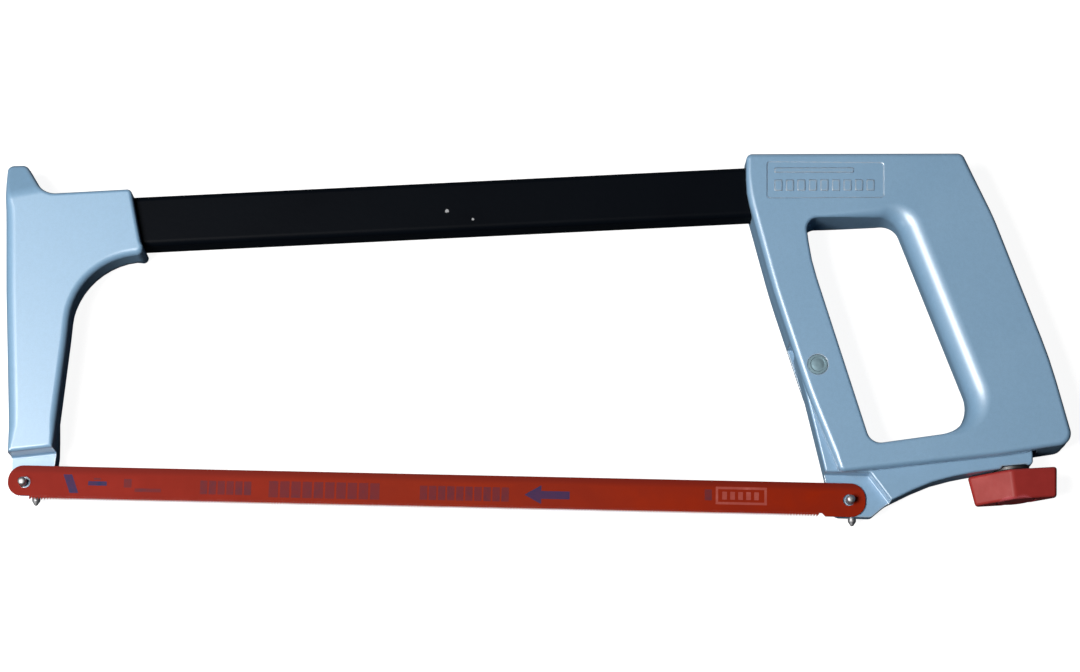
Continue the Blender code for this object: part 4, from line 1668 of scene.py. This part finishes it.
@dataclass(frozen=True)
class Tensioner:
    """Screw, nut, washer, knob and cap on the line of the screw."""

    rest_turn: float = -10.0
    thread_radius: float = 2.95
    thread_depth: float = 0.5
    pitch: float = 1.0
    thread_from: float = 8.0
    screw_top: float = 34.5
    head: float = 5.6
    head_from: float = -3.95
    head_height: float = 4.0
    knob_half: float = 5.45
    knob_length: float = 16.2
    knob_width: float = 8.6
    knob_taper: float = 0.91
    nut_radius: float = 5.5
    nut_z: Point = (-8.6, 6.6)

    def thread_rings(self) -> list[list[Vector]]:
        """Rings of the screw from its shank to its tip, with a helical thread.

        Returns:
            Rings of 24 points.
        """
        sides, parts = 24, 8
        shank = circle(self.thread_radius, sides)
        rings = [level(shank, z) for z in (self.head_from + 1, self.thread_from - 0.5)]
        steps = int((self.screw_top - 1.0 - self.thread_from) / self.pitch * parts)
        for step in range(steps + 1):
            z = self.thread_from + step * self.pitch / parts
            ring = []
            for k in range(sides):
                phase = (k / sides - step / parts) % 1.0
                crest = 1 - abs(2 * phase - 1)
                fade = min(1.0, step / parts, (steps - step) / parts)
                radius = self.thread_radius - self.thread_depth * fade * (1 - min(1.0, crest * 1.2))
                angle = math.tau * k / sides
                ring.append(Vector((radius * math.cos(angle), radius * math.sin(angle), z)))
            rings.append(ring)
        return [*rings, level(circle(self.thread_radius - 0.7, sides), self.screw_top)]

    def screw(self, line: ScrewLine, finishes: Finishes) -> None:
        """The hexagon-headed screw.

        Args:
            line: the line of the screw.
            finishes: the saw's materials.
        """
        place = line.place(self.rest_turn)
        low, high = self.head_from, self.head_from + self.head_height
        outline = rounded(hexagon(self.head, 0.25), spacing=3.0, fineness=30)
        head = slab("tension_screw_threaded", outline, low, high, 0.35, place, steps=3)
        cut(head, loft("shank", self.thread_rings(), place), operation="UNION")
        finished(head, Body.KNOB, Slot.DARK, finishes.dark, "tension_screw")

    def trunnion(self, line: ScrewLine, finishes: Finishes) -> None:
        """The barrel nut, threaded across for the screw, with a slot in its far end.

        Args:
            line: the line of the screw.
            finishes: the saw's materials.
        """
        low, high = self.nut_z
        radius = self.nut_radius
        nut = turned("trunnion_nut_turned", [
            (radius - 0.5, low), (radius, low + 0.5), (radius, high - 0.5), (radius - 0.5, high),
        ], at(*AXES.nut))
        outline = rounded([(-7, -0.6, 0), (7, -0.6, 0), (7, 0.6, 0), (-7, 0.6, 0)])
        slot = slab("slot", outline, low - 1, low + 1.2, place=at(*AXES.nut))
        cut(nut, turned("thread", [(3.15, 15), (3.15, 38)], line.place(), 32), slot)
        finished(nut, Body.NUT, Slot.DARK, finishes.dark, "trunnion_nut")

    def washer(self, line: ScrewLine, finishes: Finishes) -> None:
        """The thrust washer with rounded rims.

        Args:
            line: the line of the screw.
            finishes: the saw's materials.
        """
        low, high = 5.7, 6.9
        washer = turned("thrust_washer_stamped", [
            (6.1, low), (6.32, low + 0.1), (6.4, low + 0.3), (6.4, high - 0.15), (6.3, high),
        ], line.place())
        hole = [(3.4, low - 1), (3.4, low), (3.2, low + 0.25), (3.2, high + 1)]
        cut(washer, turned("hole", hole, line.place(), 40))
        # dark oiled steel on the washer is partly painted shade for the shadow between the lever's foot and
        # the knob
        finished(washer, Body.WASHER, Slot.DARK, finishes.dark, "thrust_washer")

    def knob(self, line: ScrewLine, finishes: Finishes) -> None:
        """The winged knob with pockets for the screw's head and the cap.

        Args:
            line: the line of the screw.
            finishes: the saw's materials.
        """
        place = line.place(self.rest_turn)
        long, wide, half = self.knob_length, self.knob_width, self.knob_half
        outline = rounded([
            (long, 2.2, 1.7), (0, wide, 3.0), (-long, 2.2, 1.7),
            (-long, -2.2, 1.7), (0, -wide, 3.0), (long, -2.2, 1.7),
        ], spacing=3.0)
        knob = slab("tension_knob_moulded", outline, -half, half, 1.1, place, steps=5, taper=self.knob_taper)
        pocket = rounded(hexagon(self.head + 0.25, 0), spacing=10)
        low = -half
        cap_pocket = [(7.4, low - 1), (7.4, low), (6.85, low + 0.5), (6.85, low + 1.2)]
        screw_hole = [(3.2, -2), (3.2, half - 0.5), (3.9, half + 0.2), (3.9, half + 1)]
        cut(
            knob,
            slab("head_pocket", pocket, low - 2, self.head_from + self.head_height + 0.25, place=place),
            turned("cap_pocket", cap_pocket, place),
            turned("screw_hole", screw_hole, place, 40),
        )
        finished(knob, Body.KNOB, Slot.RED, finishes.red, "tension_knob")
        cap = turned("knob_cap_moulded", [
            (2.0, low + 0.25), (2.6, low + 0.05), (5.9, low),
            (6.35, low + 0.12), (6.6, low + 0.4), (6.6, low + 1.05),
        ], place)
        finished(cap, Body.KNOB, Slot.RED, finishes.red, "knob_cap")

    def build(self, line: ScrewLine, finishes: Finishes) -> None:
        """Model every piece of the tensioner.

        Args:
            line: the line of the screw.
            finishes: the saw's materials.
        """
        self.screw(line, finishes)
        self.trunnion(line, finishes)
        self.washer(line, finishes)
        self.knob(line, finishes)


# ---------------------------------------------------------------------------------------------------------
# Pins
# ---------------------------------------------------------------------------------------------------------


@dataclass(frozen=True)
class Pins:
    """The turned pins of the saw."""

    hook_radius: float = 1.5
    hook_top: float = 4.2
    hook_dome: float = 0.75
    pivot_radius: float = 3.67
    roll_radius: float = 2.0

    def hook(self, name: str, x: float, low: float, body: Body, node: str, finishes: Finishes) -> None:
        """A pin that the blade hooks over, with a domed tip.

        Args:
            name: name of the piece.
            x: where it stands.
            low: height of its foot.
            body: the body it rides on.
            node: the CAD node it stands for.
            finishes: the saw's materials.
        """
        radius, rise = self.hook_radius, self.hook_dome
        shoulder = self.hook_top - rise
        angles = [math.radians(degrees) for degrees in (0, 18, 36, 54, 70, 82)]
        dome = [(radius * math.cos(angle) ** 0.8, shoulder + rise * math.sin(angle)) for angle in angles]
        pin = turned(name, [(radius - 0.3, low), (radius, low + 0.3), *dome], at(x, 0), 32)
        finished(pin, body, Slot.BRIGHT, finishes.bright, node, sharp=50)

    def flush(
        self, name: str, x: float, low: float, high: float, body: Body, node: str, finishes: Finishes
    ) -> None:
        """A pointed pin for a blade that is mounted flat.

        Args:
            name: name of the piece.
            x: where it stands.
            low: height of its point.
            high: height of its foot.
            body: the body it rides on.
            node: the CAD node it stands for.
            finishes: the saw's materials.
        """
        length = high - low
        profile = [(0.3, 0), (0.55, 0.12), (1.38, 1.45), (1.5, 1.7), (1.5, length - 0.2), (1.3, length)]
        pin = turned(name, profile, AXES.flush(x, low), 32)
        finished(pin, body, Slot.BRIGHT, finishes.bright, node)

    def hinge(self, finishes: Finishes) -> None:
        """The lever's hinge pin, its ends dished and grooved.

        Args:
            finishes: the saw's materials.
        """
        radius = self.pivot_radius
        end = [
            (radius, 0.0), (radius - 0.15, 0.2), (2.75, 0.24),
            (2.55, 0.10), (2.15, 0.10), (1.9, 0.18), (0.6, 0.2),
        ]
        profile = [(r, 10.46 + h) for r, h in end]
        back = [(r, -10.1 - h) for r, h in reversed(end)]
        pin = turned("lever_pivot_pin_turned", back + profile, at(*AXES.pivot))
        finished(pin, Body.FRAME, Slot.BRIGHT, finishes.pivot, "lever_pivot_pin")

    def roll(self, name: str, x: float, y: float, node: str, finishes: Finishes) -> None:
        """A slit spring pin that locks the tube.

        Args:
            name: name of the piece.
            x: where it stands.
            y: where it stands.
            node: the CAD node it stands for.
            finishes: the saw's materials.
        """
        radius = self.roll_radius
        profile = [(radius - 0.35, -10.3), (radius, -9.8), (radius, -4.5), (radius - 0.3, -4.2)]
        pin = turned(name, profile, at(x, y), 36)
        outline = rounded([(0, -0.3, 0), (3, -0.3, 0), (3, 0.3, 0), (0, 0.3, 0)])
        slit = slab("slit", outline, -12, -3, place=at(x, y))
        cut(pin, turned("core", [(1.1, -12), (1.1, -4.9)], at(x, y), 24), slit)
        finished(pin, Body.FRAME, Slot.DARK, finishes.dark, node)

    def build(self, tube: Tube, rolls: dict[str, Iterable[float]], finishes: Finishes) -> None:
        """Model every pin.

        Args:
            tube: the tube that the roll pins lock.
            rolls: where the roll pins of each casting stand.
            finishes: the saw's materials.
        """
        front, rear = Body.FRAME, Body.LEVER
        for node, x, low, body in (
            ("front_blade_pin", AXES.front_hook_x, -8.0, front),
            ("rear_blade_pin", AXES.rear_hook_x, -4.6, rear),
        ):
            self.hook(node + "_turned", x, low, body, node, finishes)
        for node, x, low, high, body in (
            ("front_flush_pin", AXES.front_flush_x, -7.6, 0.5, front),
            ("rear_flush_pin", AXES.rear_flush_x, -8.6, -2.4, rear),
        ):
            self.flush(node + "_turned", x, low, high, body, node, finishes)
        self.hinge(finishes)
        for end, places in rolls.items():
            for number, x in enumerate(places, 1):
                node = f"{end}_tube_pin_{number}"
                self.roll(node + "_slit", x, tube.centre(x), node, finishes)


# ---------------------------------------------------------------------------------------------------------
# The blade
# ---------------------------------------------------------------------------------------------------------


@dataclass(frozen=True)
class Mark:
    """One printed mark: its corners and its ink."""

    corners: tuple[Point, ...]
    ink: str

    @classmethod
    def bar(cls, x: float, y: float, width: float, height: float, ink: str, lean: float = 0.0) -> "Mark":
        """A bar from its lower left corner, leaning by so many millimetres over its height."""
        return cls(((x, y), (x + width, y), (x + width + lean, y + height), (x + lean, y + height)), ink)


@dataclass(frozen=True)
class Blade:
    """Enamelled strip with wavy-set teeth and plain printed marks."""

    span: float = 300.0
    width: float = 12.4
    thickness: float = 0.65
    end: float = 6.1
    end_radius: float = 5.6
    hole_radius: float = 2.1
    front_corner: float = 4.9
    strip_low: float = -4.95
    teeth_x: Point = (2.0, 290.3)
    pitch: float = 1.06
    gullet: float = -5.42
    set_height: float = 0.18
    set_wave: float = 8.48
    ink_height: float = 0.02
    ink_depth: float = 0.005
    arrow: tuple[Point, ...] = (
        (182.0, -0.6), (188.2, -4.0), (188.2, -2.0), (198.5, -2.0), (198.5, 0.9), (188.2, 0.9), (188.2, 3.0),
    )

    def strip(self, finishes: Finishes) -> None:
        """The enamelled strip with its two holes.

        Args:
            finishes: the saw's materials.
        """
        half = self.width / 2
        last = self.teeth_x[1]
        outline = rounded([
            (-self.end, half, self.end_radius),
            (-self.end, self.strip_low, self.front_corner),
            (last, self.strip_low, 0.4),
            (last + 1.2, -half, 0.5),
            (self.span + self.end, -half, self.end_radius),
            (self.span + self.end, half, self.end_radius),
        ], spacing=8.0)
        strip = slab("blade_enamelled", outline, 0, self.thickness, 0.1, steps=2)
        for x in (0.0, self.span):
            cut(strip, turned("hole", [(self.hole_radius, -1), (self.hole_radius, 2)], at(x, 0)))
        finished(strip, Body.BLADE, Slot.BLADE, finishes.blade, "blade")

    def teeth(self, finishes: Finishes) -> None:
        """The toothed edge: one tooth, arrayed, closed at both ends and set in waves.

        Args:
            finishes: the saw's materials.
        """
        first, last = self.teeth_x
        top, root, tip = self.strip_low, self.gullet, -self.width / 2
        pitch = self.pitch
        points = [
            (0, top), (0, root), (0.12, tip), (0.24, tip + 0.01),
            (pitch * 0.8, root), (pitch, root), (pitch, top),
        ]
        rings = [[Vector((x, y, z)) for x, y in points] for z in (0.02, self.thickness - 0.02)]
        tooth = loft("blade_teeth_ground", rings, at(first, 0))
        make_active(tooth)
        bpy.ops.object.mode_set(mode="EDIT")
        edit = bmesh.from_edit_mesh(tooth.data)
        bpy.ops.mesh.select_all(action="DESELECT")
        inverse = at(first, 0).inverted()
        for face in edit.faces:
            x = (inverse @ face.calc_center_median()).x
            face.select_set(x < 0.01 or x > pitch - 0.01)
        bmesh.update_edit_mesh(tooth.data)
        bpy.ops.mesh.delete(type="FACE")
        bpy.ops.object.mode_set(mode="OBJECT")
        array = tooth.modifiers.new("row", "ARRAY")
        array.count = int((last - first) / pitch)
        array.use_relative_offset = False
        array.use_constant_offset = True
        array.constant_offset_displace = (pitch * MM, 0, 0)
        array.use_merge_vertices = True
        array.merge_threshold = 0.00002
        bpy.ops.object.modifier_apply(modifier=array.name)
        bpy.ops.object.mode_set(mode="EDIT")
        bpy.ops.mesh.select_all(action="SELECT")
        bpy.ops.mesh.fill_holes(sides=0)
        bpy.ops.object.mode_set(mode="OBJECT")
        inverse = SAW.inverted()
        for vertex in tooth.data.vertices:
            local = inverse @ vertex.co
            depth = max(0.0, (self.gullet - local.y) / (self.gullet - tip))
            local.z += self.set_height * depth * math.sin(math.tau * local.x / self.set_wave)
            vertex.co = SAW @ local
        face_outward(tooth)
        finished(tooth, Body.BLADE, Slot.BLADE, finishes.blade, sharp=20)

    def marks(self) -> list[Mark]:
        """The printed marks: plain bars, ticks, an arrow and a frame.

        Returns:
            The marks in order along the blade.
        """
        made = [
            Mark.bar(16.6, -3.6, 3.2, 6.8, "navy", -2.6),
            Mark.bar(23.2, -0.7, 6.8, 1.6, "navy"),
            Mark.bar(25.2, 1.4, 2.6, 0.7, "purple"),
            Mark.bar(36.2, -1.2, 2.8, 3.2, "purple"),
            Mark.bar(40.2, -2.7, 9.6, 1.3, "purple"),
        ]
        blocks = (
            (64.0, 82.6, -3.0, 5.0, 2.6, 0.6),
            (89.0, 131.5, -3.6, 6.0, 3.4, 0.7),
            (144.0, 178.0, -3.3, 5.2, 2.7, 0.6),
        )
        for start, stop, low, height, width, gap in blocks:
            x = start
            while x + width <= stop + 0.01:
                made.append(Mark.bar(x, low, width, height, "purple"))
                x += width + gap
        made.append(Mark(self.arrow, "navy"))
        made.append(Mark.bar(247.6, -1.2, 2.6, 4.0, "purple"))
        low, high, left, right, edge = -2.6, 3.9, 251.6, 270.2, 0.9
        made += [
            Mark.bar(left, low, right - left, edge, "pale", 0.05),
            Mark.bar(left, high - edge, right - left, edge, "pale", 0.05),
            Mark.bar(left, low + edge, edge, high - low - 2 * edge, "pale"),
            Mark.bar(right - edge, low + edge, edge, high - low - 2 * edge, "pale"),
        ]
        made += [Mark.bar(left + 2.4 + step * 2.9, low + 1.8, 1.7, 2.9, "pale") for step in range(5)]
        return made

    def build(self, finishes: Finishes) -> None:
        """Model the strip, its teeth and its marks.

        Args:
            finishes: the saw's materials.
        """
        self.strip(finishes)
        self.teeth(finishes)
        inks = {"navy": finishes.navy, "purple": finishes.purple, "pale": finishes.pale}
        low, high = self.thickness - self.ink_depth, self.thickness + self.ink_height
        for ink, material in inks.items():
            shapes = []
            for number, mark in enumerate(self.marks()):
                if mark.ink == ink:
                    outline = rounded([(x, y, 0.15) for x, y in mark.corners], spacing=20, fineness=30)
                    shapes.append(slab(f"mark_{number}", outline, low, high))
            finished(joined(f"blade_print_{ink}", shapes), Body.BLADE, Slot.BLADE, material)


# ---------------------------------------------------------------------------------------------------------
# The studio
# ---------------------------------------------------------------------------------------------------------


@dataclass(frozen=True)
class Lamp:
    """One soft light: where it hangs, its size, its power and its colour."""

    name: str
    direction: tuple[float, float, float]
    distance: float
    size: Point
    power: float
    colour: Colour = (1.0, 1.0, 1.0)


@dataclass(frozen=True)
class Studio:
    """Plain pale floor, soft lights and the camera."""

    target: tuple[float, float, float] = (186.41, 58.87, 0.0)
    camera_distance: float = 1120.0
    camera_tilt: float = 13.0
    camera_roll: float = 1.264
    lens: float = 101.37
    sensor: float = 36.0
    floor_size: float = 12.0
    floor_glow: float = 0.93
    floor_pale: tuple[Colour, Colour] = ((0.28, 0.28, 0.28), (0.32, 0.32, 0.32))
    floor_dull: Colour = (0.025, 0.033, 0.042)
    world: Colour = (0.018, 0.025, 0.034)
    lamps: tuple[Lamp, ...] = (
        Lamp("key", (-0.49, -0.18, 0.85), 1.18, (0.6, 0.5), 20.6, (1.0, 0.975, 0.94)),
        Lamp("fill", (-0.80, -0.55, 0.25), 1.4, (0.5, 0.4), 1.5, (0.92, 0.96, 1.0)),
        Lamp("back", (0.10, 0.98, 0.16), 1.6, (0.6, 0.4), 1.0, (0.94, 0.97, 1.0)),
    )

    def floor(self) -> None:
        """The floor: a nearly white sheet with faint shadows, which throws little light back."""
        clear_selection()
        bpy.ops.mesh.primitive_grid_add(x_subdivisions=12, y_subdivisions=12, size=self.floor_size)
        floor = bpy.context.object
        floor.name = floor.data.name = "studio_floor"
        material = bpy.data.materials.new("floor_paper")
        material.use_nodes = True
        material.node_tree.nodes.clear()
        graph = Graph(material.node_tree)
        fibre = graph.noise(graph.place(), 60.0, detail=3.0)
        lit = graph.node("ShaderNodeBsdfDiffuse")
        graph.feed(lit.inputs["Color"], graph.mix(fibre, *self.floor_pale))
        glow = graph.node("ShaderNodeEmission")
        glow.inputs["Strength"].default_value = self.floor_glow
        shown = graph.node("ShaderNodeAddShader")
        graph.feed(shown.inputs[0], lit.outputs["BSDF"])
        graph.feed(shown.inputs[1], glow.outputs["Emission"])
        dull = graph.node("ShaderNodeBsdfDiffuse")
        dull.inputs["Color"].default_value = (*self.floor_dull, 1.0)
        choice = graph.node("ShaderNodeMixShader")
        graph.feed(choice.inputs["Fac"], graph.node("ShaderNodeLightPath").outputs["Is Camera Ray"])
        graph.feed(choice.inputs[1], dull.outputs["BSDF"])
        graph.feed(choice.inputs[2], shown.outputs["Shader"])
        output = graph.node("ShaderNodeOutputMaterial")
        graph.feed(output.inputs["Surface"], choice.outputs["Shader"])
        floor.data.materials.append(material)

    def air(self) -> None:
        """The surroundings: white to look at, dim as a light."""
        world = bpy.data.worlds.new("studio_air")
        world.use_nodes = True
        world.node_tree.nodes.clear()
        graph = Graph(world.node_tree)
        seen = graph.node("ShaderNodeBackground")
        seen.inputs["Color"].default_value = (1.0, 1.0, 1.0, 1.0)
        dim = graph.node("ShaderNodeBackground")
        dim.inputs["Color"].default_value = (*self.world, 1.0)
        choice = graph.node("ShaderNodeMixShader")
        graph.feed(choice.inputs["Fac"], graph.node("ShaderNodeLightPath").outputs["Is Camera Ray"])
        graph.feed(choice.inputs[1], dim.outputs["Background"])
        graph.feed(choice.inputs[2], seen.outputs["Background"])
        graph.feed(graph.node("ShaderNodeOutputWorld").inputs["Surface"], choice.outputs["Shader"])
        bpy.context.scene.world = world

    def lights(self) -> None:
        """Hang the soft lights round the saw."""
        centre = SAW @ Vector(self.target)
        for lamp in self.lamps:
            data = bpy.data.lights.new(lamp.name, "AREA")
            data.shape = "RECTANGLE"
            data.size, data.size_y = lamp.size
            data.energy = lamp.power
            data.color = lamp.colour
            holder = bpy.data.objects.new(lamp.name, data)
            direction = Vector(lamp.direction).normalized()
            holder.location = centre + direction * lamp.distance
            holder.rotation_euler = direction.to_track_quat("Z", "Y").to_euler()
            bpy.context.scene.collection.objects.link(holder)

    def camera(self) -> None:
        """Stand the camera over the blade's side of the saw, looking down."""
        data = bpy.data.cameras.new("view")
        data.lens = self.lens
        data.sensor_width = self.sensor
        data.clip_start, data.clip_end = 0.05, 30.0
        holder = bpy.data.objects.new("view", data)
        roll = Matrix.Rotation(math.radians(self.camera_roll), 4, "Z")
        turn = roll @ Matrix.Rotation(math.radians(self.camera_tilt), 4, "X")
        holder.location = SAW @ (Vector(self.target) + turn @ Vector((0, 0, self.camera_distance)))
        holder.rotation_euler = turn.to_euler()
        bpy.context.scene.collection.objects.link(holder)
        bpy.context.scene.camera = holder

    def build(self) -> None:
        """Set up floor, air, lights and camera."""
        self.camera()
        self.floor()
        self.air()
        self.lights()
        bpy.context.scene.view_settings.view_transform = "Standard"
        LOG.info("studio: %d lights", len(self.lamps))


def main() -> None:
    """Build the saw piece by piece and set up the studio."""
    logging.basicConfig(level=logging.INFO, format="%(name)s: %(message)s")
    Studio().build()
    finishes = Finishes()
    tube = Tube()
    front = FrontCasting()
    handle = HandleCasting()
    line = ScrewLine()
    tube.build((*front.pin_xs, *handle.pin_xs), finishes)
    front.build(tube, finishes)
    handle.build(tube, line, finishes)
    TensionLever().build(line, finishes)
    Tensioner().build(line, finishes)
    Pins().build(tube, {"front": front.pin_xs, "rear": handle.pin_xs}, finishes)
    Blade().build(finishes)


if __name__ == "__main__":
    main()
